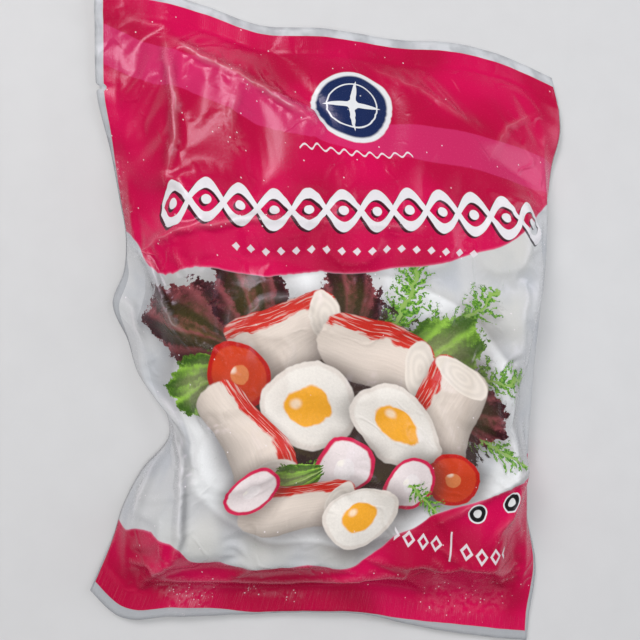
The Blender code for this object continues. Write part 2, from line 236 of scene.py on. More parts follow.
def readEdges():
    edges = {}
    for side in ("left", "right"):
        x, height, lean = (curveThrough(outline[side], 1, column) for column in (0, 2, 3))
        edges[side] = {
            "place": lambda y, x=x: x(y) * mm,
            "height": lambda y, height=height: height(y) * mm,
            "lean": lambda y, lean=lean: unit(lean(y)) * seals["steepest"],
            "slant": lambda y, x=x: np.hypot(1, (x(y + mm) - x(y - mm)) / 2),
        }
    for end in ("bottom", "top"):
        y, height = (curveThrough(outline[end], 0, column) for column in (1, 2))
        edges[end] = {
            "place": lambda x, y=y: y(x) * mm,
            "height": lambda x, height=height: height(x) * mm,
        }
    return edges


edges = readEdges()


def alongEdge(share, name):
    # y along a side edge, or x along an end edge
    axis = 1 if name in ("left", "right") else 0
    return mix(outline[name][0][axis], outline[name][-1][axis], share) * mm


def placeOnPouch(u, v):
    # x and y inside the outline, u from left to right and v upwards
    leftY, rightY = alongEdge(v, "left"), alongEdge(v, "right")
    bottomX, topX = alongEdge(u, "bottom"), alongEdge(u, "top")
    corners = [[outline[side][end] for side in ("left", "right")] for end in (0, -1)]

    def patch(left, right, bottom, top, axis):
        low = mix(corners[0][0][axis] * mm, corners[0][1][axis] * mm, u)
        high = mix(corners[1][0][axis] * mm, corners[1][1][axis] * mm, u)
        return mix(left, right, u) + mix(bottom, top, v) - mix(low, high, v)

    x = patch(edges["left"]["place"](leftY), edges["right"]["place"](rightY), bottomX, topX, 0)
    y = patch(leftY, rightY, edges["bottom"]["place"](bottomX), edges["top"]["place"](topX), 1)
    return x, y


def sideInset(side, v):
    y = alongEdge(v, side)
    width = seals["sideWidth"] * np.cos(edges[side]["lean"](y)) * edges[side]["slant"](y)
    left = edges["left"]["place"](alongEdge(v, "left"))
    return width / (edges["right"]["place"](alongEdge(v, "right")) - left)


def endInset(u):
    top = edges["top"]["place"](alongEdge(u, "top"))
    return seals["endWidth"] / (top - edges["bottom"]["place"](alongEdge(u, "bottom")))


def spread(a, low, high):
    # -1 to 0 is the first seal, 0 to 1 the panel, and 1 to 2 the second seal
    inside = mix(low, high, unit(a))
    return np.where(a < 0, low * (1 + a), np.where(a > 1, high + (1 - high) * (a - 1), inside))


def onGrid(s, t):
    # u and v of a film point: s and t run from -1 to 2 across the seals and the panel
    v = unit(t)
    for _ in range(4):
        u = spread(s, sideInset("left", v), 1 - sideInset("right", v))
        v = spread(t, endInset(u), 1 - endInset(u))
    return u, v


def ripple(place, shift):
    # small waves that run along a seal
    waves = ((0.0310, 0.5), (0.0173, 0.3), (0.0091, 0.2))
    return seals["ripple"] * sum(k * np.sin(math.tau * place / w + shift * w * 900) for w, k in waves)


def sealSurface(s, u, v):
    # height of the seals' middle surface, read on the seals and on the panel's rim
    heights = {}
    for side, out, shift in (("left", unit(-s), 1.0), ("right", unit(s - 1), 2.3)):
        y = alongEdge(v, side)
        lean = edges[side]["lean"](y)
        drop = seals["sideWidth"] * np.sin(lean) * (1 - out)
        heights[side] = edges[side]["height"](y) + drop + ripple(y, shift) * np.cos(lean)
    for end, shift in (("bottom", 0.7), ("top", 3.1)):
        x = alongEdge(u, end)
        heights[end] = edges[end]["height"](x) + ripple(x, shift)
    return heights


def sealHeight(s, t, u, v):
    # the end seals cross the whole width, and a side seal fades into them over its last bit
    nearEnd = 0.012
    heights = sealSurface(s, u, v)
    height = np.where(s <= 0, heights["left"], np.where(s >= 1, heights["right"], 0.0))
    for end, away in (("bottom", t), ("top", 1 - t)):
        share = np.where((s <= 0) | (s >= 1), unit(1 - away / nearEnd), away <= 0)
        height = mix(height, heights[end], share)
    return height


def solidTree(names):
    points, faces = [], []
    for name in names:
        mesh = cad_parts[name].data
        first = len(points)
        points += [vertex.co.copy() for vertex in mesh.vertices]
        faces += [tuple(first + k for k in face.vertices) for face in mesh.polygons]
    return BVHTree.FromPolygons(points, faces)


def surfaceHeight(tree, x, y, fromAbove, missed):
    height = np.full(x.shape, missed)
    way = Vector((0, 0, -1 if fromAbove else 1))
    for i in np.ndindex(x.shape):
        hit = tree.ray_cast(Vector((x[i], y[i], 0.1 if fromAbove else -0.1)), way)[0]
        if hit is not None:
            height[i] = hit.z
    return height


# a grid over the whole pouch, on which heights are read
reliefStep = 1 * mm
reliefX = np.arange(-0.116, 0.1161, reliefStep)
reliefY = np.arange(-0.154, 0.1541, reliefStep)
chunkNames = sorted(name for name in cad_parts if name.startswith("chunk_"))


def softened(grid, times):
    for axis in (0, 1) * times:
        grid = (grid * 2 + np.roll(grid, 1, axis) + np.roll(grid, -1, axis)) / 4
    return grid


def chunkRelief(fromAbove, missed):
    # the chunks' height over a grid, widened by two cells and softened, so that no edge stands out
    x, y = np.meshgrid(reliefX, reliefY)
    relief = surfaceHeight(solidTree(chunkNames), x, y, fromAbove, missed)
    widest = np.maximum if fromAbove else np.minimum
    for axis in (0, 1, 0, 1):
        relief = widest(relief, widest(np.roll(relief, 1, axis), np.roll(relief, -1, axis)))
    return softened(relief, 2)


def readGrid(grid, row, column):
    # a grid's values between its points
    i = np.clip(row.astype(int), 0, grid.shape[0] - 2)
    j = np.clip(column.astype(int), 0, grid.shape[1] - 2)
    down, across = row - i, column - j
    if grid.ndim == 3:
        down, across = down[..., None], across[..., None]
    low = mix(grid[i, j], grid[i, j + 1], across)
    high = mix(grid[i + 1, j], grid[i + 1, j + 1], across)
    return mix(low, high, down)


def readRelief(relief, x, y):
    column = np.clip((x - reliefX[0]) / reliefStep, 0, len(reliefX) - 1.001)
    row = np.clip((y - reliefY[0]) / reliefStep, 0, len(reliefY) - 1.001)
    return readGrid(relief, row, column)


def resample(grid, rows, columns):
    spans = (np.linspace(0, grid.shape[0] - 1, rows), np.linspace(0, grid.shape[1] - 1, columns))
    return readGrid(grid, *np.meshgrid(*spans, indexing="ij"))


def aroundMean(grid):
    # the mean of the four neighbours of each inner cell
    return (grid[:-2, 1:-1] + grid[2:, 1:-1] + grid[1:-1, :-2] + grid[1:-1, 2:]) / 4


def lineDistance(x, y, points):
    nearest = np.full(x.shape, 1.0)
    for (ax, ay), (bx, by) in zip(points, points[1:]):
        dx, dy = (bx - ax) * mm, (by - ay) * mm
        t = unit(((x - ax * mm) * dx + (y - ay * mm) * dy) / (dx * dx + dy * dy))
        nearest = np.minimum(nearest, np.hypot(x - ax * mm - t * dx, y - ay * mm - t * dy))
    return nearest


def nearLine(x, y, points, width):
    # 1 on a line, falling to 0 at its width in millimetres
    return unit(1 - lineDistance(x, y, points) / (width * mm))


def endDistance(x, y, points):
    # to the nearer end of a line, in millimetres
    return np.minimum(*(np.hypot(x - px * mm, y - py * mm) / mm for px, py in (points[0], points[-1])))


def creaseMarks(x, y):
    # the signed distance to the nearest sharp crease, in millimetres, and its sharpness and glint
    away = np.full(x.shape, crease["farAway"])
    sharpness, glint = np.zeros(x.shape), np.zeros(x.shape)
    for sharp, bright, points in creaseLines:
        fading = np.clip(endDistance(x, y, points) / crease["endFade"], crease["endShare"], 1)
        for (ax, ay), (bx, by) in zip(points, points[1:]):
            gap = lineDistance(x, y, [(ax, ay), (bx, by)]) / mm
            turn = np.sign((bx - ax) * (y / mm - ay) - (by - ay) * (x / mm - ax))
            nearer = gap < np.abs(away)
            away = np.where(nearer, gap * turn, away)
            near = fading * unit(2 - 2 * gap / crease["reach"])
            sharpness = np.where(nearer, sharp * near, sharpness)
            glint = np.where(nearer, bright * near, glint)
    return away, sharpness, glint


def foldHeight(x, y):
    raised = np.zeros(x.shape)
    for height, width, points in foldLines:
        raised = np.maximum(raised, height * mm * nearLine(x, y, points, width))
    return raised


def foldProps():
    # the lowest that the front film may lie along the middle of its creases
    x, y = np.meshgrid(reliefX, reliefY)
    panel = surfaceHeight(solidTree(["front_panel"]), x, y, True, 0.0)
    props = np.zeros(x.shape)
    for height, _, points in foldLines:
        away = lineDistance(x, y, points) / mm
        fading = np.clip(endDistance(x, y, points) / prop["endFade"], prop["endShare"], 1)
        drop = prop["drop"] + prop["fall"] * np.maximum(away - prop["flatTo"], 0)
        crest = np.where(away < prop["reach"], panel + (height * fading - drop) * mm, 0.0)
        props = np.maximum(props, np.where(panel > prop["lowest"] * mm, crest, 0.0))
    return softened(props, 4)


def threads(points, slackAcross, slackUp, bend):
    # the film as threads of fixed length: along, up, both diagonals, and stays against bending
    rows, columns = points.shape[:2]
    made = []

    def add(a, b, slack, stiffness, onlyPush):
        rest = np.linalg.norm(points[b] - points[a], axis=-1) * (1 + (slack[a] + slack[b]) / 2)
        made.append((a, b, rest, stiffness, onlyPush))

    def pairs(count, step, first):
        # two slices of a row whose points lie a step apart, each point in one pair
        number = len(range(first, count - step, 2 * step))
        return (
            slice(first, first + 2 * step * number, 2 * step),
            slice(first + step, first + step + 2 * step * number, 2 * step),
        )

    every = slice(None)
    askew = (slackAcross + slackUp) / 2
    for first in (0, 1):
        a, b = pairs(columns, 1, first)
        add((every, a), (every, b), slackAcross, 1.0, False)
        add((slice(0, rows - 1), a), (slice(1, rows), b), askew, film["askew"], False)
        add((slice(1, rows), a), (slice(0, rows - 1), b), askew, film["askew"], False)
        a, b = pairs(rows, 1, first)
        add((a, every), (b, every), slackUp, 1.0, False)
    for first in range(4):
        a, b = pairs(columns, 2, first)
        add((every, a), (every, b), slackAcross, bend, True)
        a, b = pairs(rows, 2, first)
        add((a, every), (b, every), slackUp, bend, True)
    return made


def settleFilm(points, free, made, keepInside, lift, steps):
    last = points.copy()
    for _ in range(steps):
        moved = (points - last) * film["damping"]
        last = points.copy()
        points += moved * free[..., None]
        points[..., 2] += lift * free
        for _ in range(film["passes"]):
            for a, b, rest, stiffness, onlyPush in made:
                gap = points[b] - points[a]
                length = np.sqrt((gap * gap).sum(-1)) + 1e-9
                over = length - rest
                if onlyPush:
                    over = np.minimum(over, 0)
                freeA, freeB = free[a], free[b]
                gap *= (stiffness * over / (length * (freeA + freeB + 1e-9)))[..., None]
                points[a] += gap * freeA[..., None]
                points[b] -= gap * freeB[..., None]
        points[..., 2] = np.where(free > 0, keepInside(points), points[..., 2])
    return points


def lengthShares(points, axis):
    # how far along its row or column each point is, by length, from 0 to 1
    step = np.linalg.norm(np.diff(points, axis=axis), axis=-1)
    total = np.cumsum(step, axis=axis)
    start = np.zeros_like(np.take(total, [0], axis=axis))
    total = np.concatenate([start, total], axis=axis)
    return total / np.take(total, [-1], axis=axis)


def rimFree(rows, columns):
    free = np.ones((rows, columns))
    free[[0, -1], :] = 0
    free[:, [0, -1]] = 0
    return free


def startPanel(rows, columns, node, fromAbove, shift, lift):
    # the film as the solid panel has it, with its rim on the seals
    s, t = filmGrid(rows, columns, 0)
    x, y, rim = np.moveaxis(sealPlaces(s, t, lift), -1, 0)
    height = surfaceHeight(solidTree([node]), x, y, fromAbove, np.nan) + shift
    height = np.where(rimFree(rows, columns) > 0, height, rim)
    height = np.where(np.isnan(height), np.nanmedian(height[[0, -1], :]), height)
    for _ in range(film["smoothing"]):
        height[1:-1, 1:-1] = aroundMean(height)
    return np.stack([x, y, height], -1), s, t


def settlePanel(start, relaxed, slack, lift, keepInside, fineSize):
    # settles a coarse film first, for the large folds, and then a fine one
    steps = film["steps"]
    made = threads(start, *slack, film["bend"])
    coarse = settleFilm(relaxed, rimFree(*start.shape[:2]), made, keepInside, lift, steps[0])
    rows, columns = fineSize
    fineStart = resample(start, rows, columns)
    fineSlack = resample(np.stack(slack, -1), rows, columns)
    made = threads(fineStart, fineSlack[..., 0], fineSlack[..., 1], film["bend"] * film["fineBend"])
    fineLift = resample(lift[..., None], rows, columns)[..., 0] / 2
    fine = resample(coarse, rows, columns)
    return settleFilm(fine, rimFree(rows, columns), made, keepInside, fineLift, steps[1]), fineStart


def shapeFront():
    rows, columns = film["coarse"]
    ease = frontSettling
    start, s, t = startPanel(rows, columns, "front_panel", True, -ease["drop"], film["lift"])
    floor = np.maximum(chunkRelief(True, 0.0) + ease["clearance"], ease["lowest"])
    props = foldProps()
    propped = np.maximum(floor, props)
    floor = np.maximum(floor, props - ease["sink"])

    def keepInside(points):
        under = propped if len(points) == rows else floor
        return np.maximum(points[..., 2], readRelief(under, points[..., 0], points[..., 1]))

    start[..., 2] = np.where(rimFree(rows, columns) > 0, keepInside(start), start[..., 2])
    x, y = start[..., 0], start[..., 1]
    empty = unit((y - ease["emptyFrom"]) / ease["emptyOver"])
    foot = unit((-y - ease["footFrom"]) / ease["footOver"])
    sideways = unit(1 - np.minimum(s, 1 - s) / film["sideShare"])
    rim = np.minimum(np.minimum(s, 1 - s), np.minimum(t, 1 - t))
    rim = unit(rim * ease["rimSlope"])
    across = ease["spare"] + ease["emptySpare"][0] * empty + ease["footSpare"][0] * foot
    along = ease["spare"] + ease["sideSpare"] * sideways + ease["emptySpare"][1] * empty
    slack = (rim * across, rim * (along + ease["footSpare"][1] * foot))
    relaxed = start.copy()
    uneven = np.random.default_rng(film["seed"]).normal(0, ease["uneven"], x.shape)
    relaxed[..., 2] += foldHeight(x, y) * rim + uneven * rimFree(rows, columns)
    lift = np.where(y > ease["liftFrom"], ease["lift"], -ease["press"] - ease["footPress"] * foot)
    size = film["fine"]
    return settlePanel(start, relaxed, slack, lift, keepInside, size)


def shapeBack(front):
    rows, columns = film["coarse"]
    ease = backSettling
    start, s, _ = startPanel(rows, columns, "back_panel", False, ease["rise"], 0.0)
    ceiling = chunkRelief(False, 1.0) - ease["clearance"]

    def keepInside(points):
        under = readRelief(ceiling, points[..., 0], points[..., 1])
        under = np.minimum(under, resample(front, *points.shape[:2])[..., 2] - 2 * film["lift"])
        return np.clip(points[..., 2], film["thickness"] + ease["overFloor"], under)

    sideways = unit(1 - np.minimum(s, 1 - s) / film["sideShare"])
    slack = (np.full(s.shape, ease["spare"][0]), ease["spare"][1] + ease["sideSpare"] * sideways)
    relaxed = start.copy()
    uneven = np.random.default_rng(film["seed"] + 1).normal(0, ease["uneven"], s.shape)
    relaxed[..., 2] += uneven * rimFree(rows, columns)
    lift = np.full(s.shape, -ease["press"])
    return settlePanel(start, relaxed, slack, lift, keepInside, film["quick"])


def gridPiece(name, points, attributes, thickness, offset, upwards):
    # a bmesh grid whose points are then laid on the film's shape
    rows, columns = points.shape[:2]
    bm = bmesh.new()
    bmesh.ops.create_grid(bm, x_segments=columns - 1, y_segments=rows - 1, size=0.5)
    bm.verts.ensure_lookup_table()
    flat = np.array([vertex.co for vertex in bm.verts])
    column = np.rint((flat[:, 0] + 0.5) * (columns - 1)).astype(int)
    row = np.rint((flat[:, 1] + 0.5) * (rows - 1)).astype(int)
    for vertex, place in zip(bm.verts, points[row, column]):
        vertex.co = place
    if not upwards:
        bmesh.ops.reverse_faces(bm, faces=bm.faces[:])
    bmesh.ops.triangulate(bm, faces=bm.faces[:], quad_method="SHORT_EDGE")
    mesh = bpy.data.meshes.new(name)
    bm.to_mesh(mesh)
    bm.free()
    for label, values in attributes.items():
        kind = "FLOAT_VECTOR" if values.ndim == 3 else "FLOAT"
        layer = mesh.attributes.new(label, kind, "POINT")
        values = values[row, column].astype(np.float32)
        layer.data.foreach_set("vector" if kind == "FLOAT_VECTOR" else "value", values.ravel())
    mesh.shade_smooth()
    piece = bpy.data.objects.new(name, mesh)
    bpy.context.scene.collection.objects.link(piece)
    wall = piece.modifiers.new("Wall", "SOLIDIFY")
    wall.thickness = thickness
    wall.offset = offset
    return piece


def withSeals(count, cells):
    # from -1 to 2: count points over the panel, and a number of cells over the seal at each end
    low, high = np.linspace(-1, 0, cells + 1)[:-1], np.linspace(1, 2, cells + 1)[1:]
    return np.concatenate([low, np.linspace(0, 1, count), high])


def filmGrid(rows, columns, cells):
    t, s = np.meshgrid(withSeals(rows, cells), withSeals(columns, cells), indexing="ij")
    return s, t


def sealPlaces(s, t, lift):
    u, v = onGrid(s, t)
    x, y = placeOnPouch(u, v)
    return np.stack([x, y, sealHeight(s, t, u, v) + lift], -1)


def flatPlaces(s, t, panelX, panelY):
    # the flat print: the seals carry on from the panel at their own width
    px = panelX + np.minimum(s, 0) * seals["sideWidth"] + np.maximum(s - 1, 0) * seals["sideWidth"]
    py = panelY + np.minimum(t, 0) * seals["endWidth"] + np.maximum(t - 1, 0) * seals["endWidth"]
    return np.stack([px, py, np.zeros(px.shape)], -1)


def panelShares(start):
    width, height = film["panelSize"]
    return (lengthShares(start, 1) - 0.5) * width, (lengthShares(start, 0) - 0.5) * height


def frostAt(x, y):
    frost = np.zeros(x.shape)
    for strength, width, points in frostLines:
        share = nearLine(x, y, points, width)
        frost = np.maximum(frost, strength * share * share * (3 - 2 * share))
    return frost


def pressCreases(points):
    # lifts the film to a sharp ridge along each crease
    away, sharpness, _ = creaseMarks(points[..., 0], points[..., 1])
    share = unit(1 - np.abs(away) / crease["halfWidth"])
    points[..., 2] += crease["height"] * sharpness * share
    return points


def filmMarks(whole, s, t):
    # where the film is frosted, rubbed and given a painted highlight at a crest, pressed on a chunk, or
    # fused
    x, y, z = whole[..., 0], whole[..., 1], whole[..., 2]
    bend = np.zeros(z.shape)
    bend[1:-1] = z[1:-1] - (z[:-2] + z[2:]) / 2
    side = np.zeros(z.shape)
    side[:, 1:-1] = z[:, 1:-1] - (z[:, :-2] + z[:, 2:]) / 2
    low, high = filmMarkSettings["rim"], 1 - filmMarkSettings["rim"]
    inside = (s > low) & (s < high) & (t > low) & (t < high)
    crest = np.maximum(bend, side) / filmMarkSettings["crestBend"] - filmMarkSettings["crestFrom"]
    chunkTop = readRelief(chunkRelief(True, filmMarkSettings["noChunk"]), x, y)
    contact = unit(filmMarkSettings["contactFull"] - (z - chunkTop) / filmMarkSettings["contactReach"])
    for _ in range(filmMarkSettings["contactPasses"]):
        contact = aroundMean(np.pad(contact, 1, mode="edge"))
    faintly = np.where((t > 1) | (s < 0) | (s > 1), filmMarkSettings["faintlyFused"], 0.0)
    fused = np.where(t < 0, 1.0, faintly)
    away, sharpness, glint = creaseMarks(x, y)
    return {
        "frost": frostAt(x, y),
        "crest": unit(crest) * inside,
        "contact": contact,
        "fused": fused,
        "away": away,
        "sharpness": sharpness,
        "glint": glint,
    }


def buildFilm(name, points, start, front):
    # the front film runs on over the seals, and the back film ends at them
    cells = seals["cellsAcross"] if front else 0
    s, t = filmGrid(*points.shape[:2], cells)
    panelX, panelY = (np.pad(share, cells, mode="edge") for share in panelShares(start))
    if front:
        whole = cutNotch(sealPlaces(s, t, film["lift"]), s)
        whole[cells:-cells, cells:-cells] = points
        marks = filmMarks(whole, s, t)
    else:
        whole = points
        marks = {"away": np.full(s.shape, crease["farAway"])}
    marks["printPlace"] = flatPlaces(s, t, panelX, panelY)
    return gridPiece(name, whole, marks, film["thickness"], 1, front)


def buildSeal(name, node):
    # a fused strip under the front film: its middle surface on a grid, thickened both ways
    ends = (-1, 0) if node in ("seal_left", "seal_bottom") else (1, 2)
    across = np.linspace(*ends, seals["cellsAcross"] + 1)
    if node in ("seal_left", "seal_right"):
        t, s = np.meshgrid(np.linspace(0, 1, seals["alongSide"]), across, indexing="ij")
    else:
        t, s = np.meshgrid(across, withSeals(seals["alongEnd"], seals["endCells"]), indexing="ij")
    places = cutNotch(sealPlaces(s, t, 0), s)
    width, height = film["panelSize"]
    flat = flatPlaces(s, t, (unit(s) - 0.5) * width, (unit(t) - 0.5) * height)
    marks = {"printPlace": flat, "fused": np.ones(s.shape), "away": np.full(s.shape, crease["farAway"])}
    return gridPiece(name, places, marks, seals["thickness"], 0, True)


def cutNotch(places, s):
    # the opening notch in the left seal
    cut = unit(1 - np.abs(places[..., 1] - seals["notchY"]) / (seals["notchWidth"] / 2))
    places[..., 0] += seals["notchDepth"] * cut * unit(-s)
    return places


class Wire:
    # a node's value, so that a material is written as sums of wires and numbers
    def __init__(self, socket):
        self.socket = socket

    def __abs__(self):
        return calc("ABSOLUTE", self)


def giveOperator(sign, operation):
    setattr(Wire, f"__{sign}__", lambda left, right: calc(operation, left, right))
    setattr(Wire, f"__r{sign}__", lambda right, left: calc(operation, left, right))


giveOperator("add", "ADD")
giveOperator("sub", "SUBTRACT")
giveOperator("mul", "MULTIPLY")
giveOperator("truediv", "DIVIDE")
giveOperator("pow", "POWER")


def addNode(tree, kind, **settings):
    node = tree.nodes.new(kind)
    for label, value in settings.items():
        setattr(node, label, value)
    return node


def plug(socket, value):
    if isinstance(value, Wire):
        socket.id_data.links.new(value.socket, socket)
    else:
        socket.default_value = value


def wiredNode(kind, inputs, **settings):
    # a new node in the tree of the wires that it takes
    tree = next(value.socket.id_data for value in inputs.values() if isinstance(value, Wire))
    node = addNode(tree, kind, **settings)
    for label, value in inputs.items():
        plug(node.inputs[label], value)
    return node


def calc(operation, *values):
    return Wire(wiredNode("ShaderNodeMath", dict(enumerate(values)), operation=operation).outputs[0])


def highest(*values):
    return functools.reduce(lambda a, b: calc("MAXIMUM", a, b), values)


def calcVector(operation, a, b=None):
    inputs = {0: a}
    if b is not None:
        inputs["Scale" if operation == "SCALE" else 1] = b
    node = wiredNode("ShaderNodeVectorMath", inputs, operation=operation)
    return Wire(node.outputs["Value" if operation in ("LENGTH", "DISTANCE") else "Vector"])


def fade(value, low, high):
    # 0 below low and 1 above high, or the other way round where high is the lower one
    inputs = {"Value": value, "From Min": low, "From Max": high}
    return Wire(wiredNode("ShaderNodeMapRange", inputs, interpolation_type="SMOOTHSTEP").outputs["Result"])


def within(value, low, high, soft=0.15):
    return fade(value, low - soft, low + soft) * fade(value, high + soft, high - soft)


def blendColour(share, low, high):
    return Wire(wiredNode("ShaderNodeMix", {0: share, 6: low, 7: high}, data_type="RGBA").outputs[2])


def blendValue(share, low, high):
    return Wire(wiredNode("ShaderNodeMix", {0: share, 2: low, 3: high}, data_type="FLOAT").outputs[0])


def noise(spot, scale, detail=2.0, rough=0.5):
    inputs = {"Vector": spot, "Scale": scale, "Detail": detail, "Roughness": rough}
    return Wire(wiredNode("ShaderNodeTexNoise", inputs).outputs["Fac"])


def split(spot):
    node = wiredNode("ShaderNodeSeparateXYZ", {0: spot})
    return {axis: Wire(node.outputs[axis]) for axis in ("X", "Y")}


def join(x, y):
    return Wire(wiredNode("ShaderNodeCombineXYZ", {0: x, 1: y}).outputs[0])


def readCurve(value, points, span, rise):
    # a smooth curve through points; span is the range along it and rise the range of its values
    width, height = span[1] - span[0], rise[1] - rise[0]
    node = wiredNode("ShaderNodeFloatCurve", {"Value": (value - span[0]) / width})
    curve = node.mapping.curves[0]
    places = [((a - span[0]) / width, (b - rise[0]) / height) for a, b in points]
    curve.points[0].location, curve.points[1].location = places[0], places[-1]
    for spot in places[1:-1]:
        curve.points.new(*spot)
    node.mapping.update()
    return Wire(node.outputs[0]) * height + rise[0]


def newGroup(name, inputs, outputs):
    group = bpy.data.node_groups.new(name, "ShaderNodeTree")
    for label, kind, value in inputs:
        socket = group.interface.new_socket(label, in_out="INPUT", socket_type="NodeSocket" + kind)
        socket.default_value = value
    for label, kind in outputs:
        group.interface.new_socket(label, in_out="OUTPUT", socket_type="NodeSocket" + kind)
    given = {socket.name: Wire(socket) for socket in group.nodes.new("NodeGroupInput").outputs}
    return group, given, group.nodes.new("NodeGroupOutput").inputs


def useGroup(tree, group, values):
    node = addNode(tree, "ShaderNodeGroup", node_tree=group)
    for label, value in values.items():
        plug(node.inputs[label], value)
    return {socket.name: Wire(socket) for socket in node.outputs}


def ownPlace(given):
    # the place in a motif's own frame, where the motif reaches from -1 to 1
    moved = calcVector("SUBTRACT", given["Place"], given["Centre"])
    inputs = {"Vector": moved, "Angle": given["Turn"] * (-math.pi / 180)}
    turned = wiredNode("ShaderNodeVectorRotate", inputs, rotation_type="Z_AXIS")
    return calcVector("DIVIDE", Wire(turned.outputs[0]), given["Size"])


def finishMotif(given, made, colour):
    # hands the place on with a trace of the colour, so the motifs are worked out one after another
    # and the renderer never holds the values of all of them at once
    plug(made["Colour"], colour)
    plug(made["Next"], calcVector("ADD", given["Place"], calcVector("SCALE", colour, 1e-7)))


def castShadow(given, own):
    # a soft shadow to the lower right, under a motif
    away = calcVector("LENGTH", calcVector("ADD", own, (-0.10, 0.14, 0)))
    reach = 7 / split(given["Size"])["Y"] + 1.05
    return blendColour(fade(away, reach, 0.85) * given["Depth"], given["Under"], (0.05, 0.03, 0.025, 1))


white = (1, 1, 1, 1)
offWhite = (0.72, 0.73, 0.75, 1)
printInputs = [("Under", "Color", white), ("Place", "Vector", (0, 0, 0))]
motifInputs = printInputs + [
    ("Centre", "Vector", (0, 0, 0)),
    ("Size", "Vector", (1, 1, 1)),
    ("Turn", "Float", 0.0),
    ("Depth", "Float", 0.6),
    ("Body", "Color", white),
    ("Skin", "Color", white),
    ("Heart", "Color", white),
    ("Uneven", "Float", 0.5),
    ("Ruffle", "Float", 0.5),
    ("Grain", "Float", 0.5),
]
motifOutputs = [("Colour", "Color"), ("Next", "Vector")]


def motifGroup(name, extra, draw):
    # draws a motif over Under: draw gives what lies under it, its colour and its cover
    inputs = motifInputs + [(label, "Float", value) for label, value in extra.items()]
    group, given, made = newGroup(name, inputs, motifOutputs)
    own = ownPlace(given)
    under, colour, cover = draw(given, own, split(own))
    finishMotif(given, made, blendColour(cover, under, colour))
    return group


def drawSlice(given, own, side):
    # a round slice: body, a skin round it and a heart, with a wobbly edge
    uneven = given["Uneven"] - 0.5
    away = uneven * given["Wobble"] + calcVector("LENGTH", own)
    level = (side["Y"] - side["X"] * 0.6) * 0.16 + (given["Grain"] * 0.4 + 0.78)
    level = blendValue(given["Depth"], 1.0, level)
    skinEdge = 1 - given["SkinWidth"]
    skin = fade(away, skinEdge - 0.05, skinEdge + 0.02)
    heart = fade(uneven * 0.15 + away, given["HeartSize"], given["HeartSize"] * 0.86)
    colour = blendColour(skin, given["Body"], given["Skin"])
    colour = blendColour(heart, colour, given["Heart"])
    shine = calcVector("DISTANCE", own, (-0.16, 0.2, 0))
    shine = fade(shine, 0.17, 0.05) * (given["Depth"] * heart)
    colour = blendColour(shine, colour, (0.9, 0.85, 0.75, 1))
    lit = calcVector("SCALE", colour, level)
    return castShadow(given, own), lit, fade(away, 1.01, 0.97)


def drawLeaf(given, own, side):
    # a frilled leaf folded like a fan from its base, Heart at the base and rib, Skin on the folds
    ruffle = given["Ruffle"] - 0.5
    fan = calc("ARCTAN2", side["Y"], side["X"] + 1.25)
    swerve = given["Uneven"] * 3 + ruffle * 2.2
    folds = calc("SINE", fan * 15 + swerve)
    finer = calc("SINE", fan * 37 + ruffle * 5)
    frill = folds * 0.07 + finer * 0.03
    away = calcVector("LENGTH", own) + (ruffle * given["Frill"] + frill)
    outer = fade(away, 0.15, 0.95)
    lifted = fade(folds * 0.5 + (finer * 0.22 + ruffle * 1.6), -0.5, 0.9)
    colour = blendColour(outer, given["Heart"], given["Body"])
    colour = blendColour(lifted * 0.8, colour, given["Skin"])
    rib = fade(abs(ruffle * 0.15 + side["Y"]), 0.06, 0.02) * fade(side["X"], 0.8, -0.4)
    colour = blendColour(rib * 0.7, colour, given["Heart"])
    rim = fade(away, 0.82, 0.93) * fade(given["Grain"], 0.35, 0.6)
    colour = blendColour(rim * 0.55, colour, given["Skin"])
    level = lifted * 0.75 + (given["Grain"] * 0.5 + 0.25)
    lit = calcVector("SCALE", colour, level)
    return castShadow(given, own), lit, fade(away, 1.0, 0.96)


def drawSprig(given, own, side):
    # a feathery herb: slanted leaflets on both sides of a bent stem
    stray = given["Uneven"] - 0.5
    curled = given["Ruffle"] - 0.5
    x = curled * 0.45 + (stray * 0.3 + side["X"])
    bent = calc("SINE", x * 1.9) * 0.22
    y = abs(curled * -0.25 + (stray * 0.6 + side["Y"]) + bent)
    row = (x - y * 0.42) * given["Leaflets"]
    middle = abs(calc("FRACT", row) - 0.5)
    span = calc("SQRT", highest(1.0 - x * x, 0.0))
    turned = calc("FLOOR", row) + given["Turn"]
    cell = wiredNode("ShaderNodeTexWhiteNoise", {"W": turned}, noise_dimensions="1D")
    length = Wire(cell.outputs["Value"]) * 0.5 + 0.55
    out = y / ((span + 0.001) * length)
    thick = (1.08 - out) * (given["Grain"] * 0.7 + 0.12)
    leaflet = fade(middle, thick, thick * 0.75) * fade(out, 1.0, 0.93)
    stem = fade(y, 0.07, 0.04) * fade(abs(x), 1.1, 1.05)
    colour = blendColour(fade(given["Grain"], 0.4, 0.62), given["Body"], given["Skin"])
    colour = blendColour(stem, colour, given["Heart"])
    shadow = fade(highest(out, abs(x)), 1.25, 0.5) * given["Depth"]
    under = blendColour(shadow, given["Under"], (0.05, 0.045, 0.03, 1))
    return under, colour, highest(leaflet, stem)


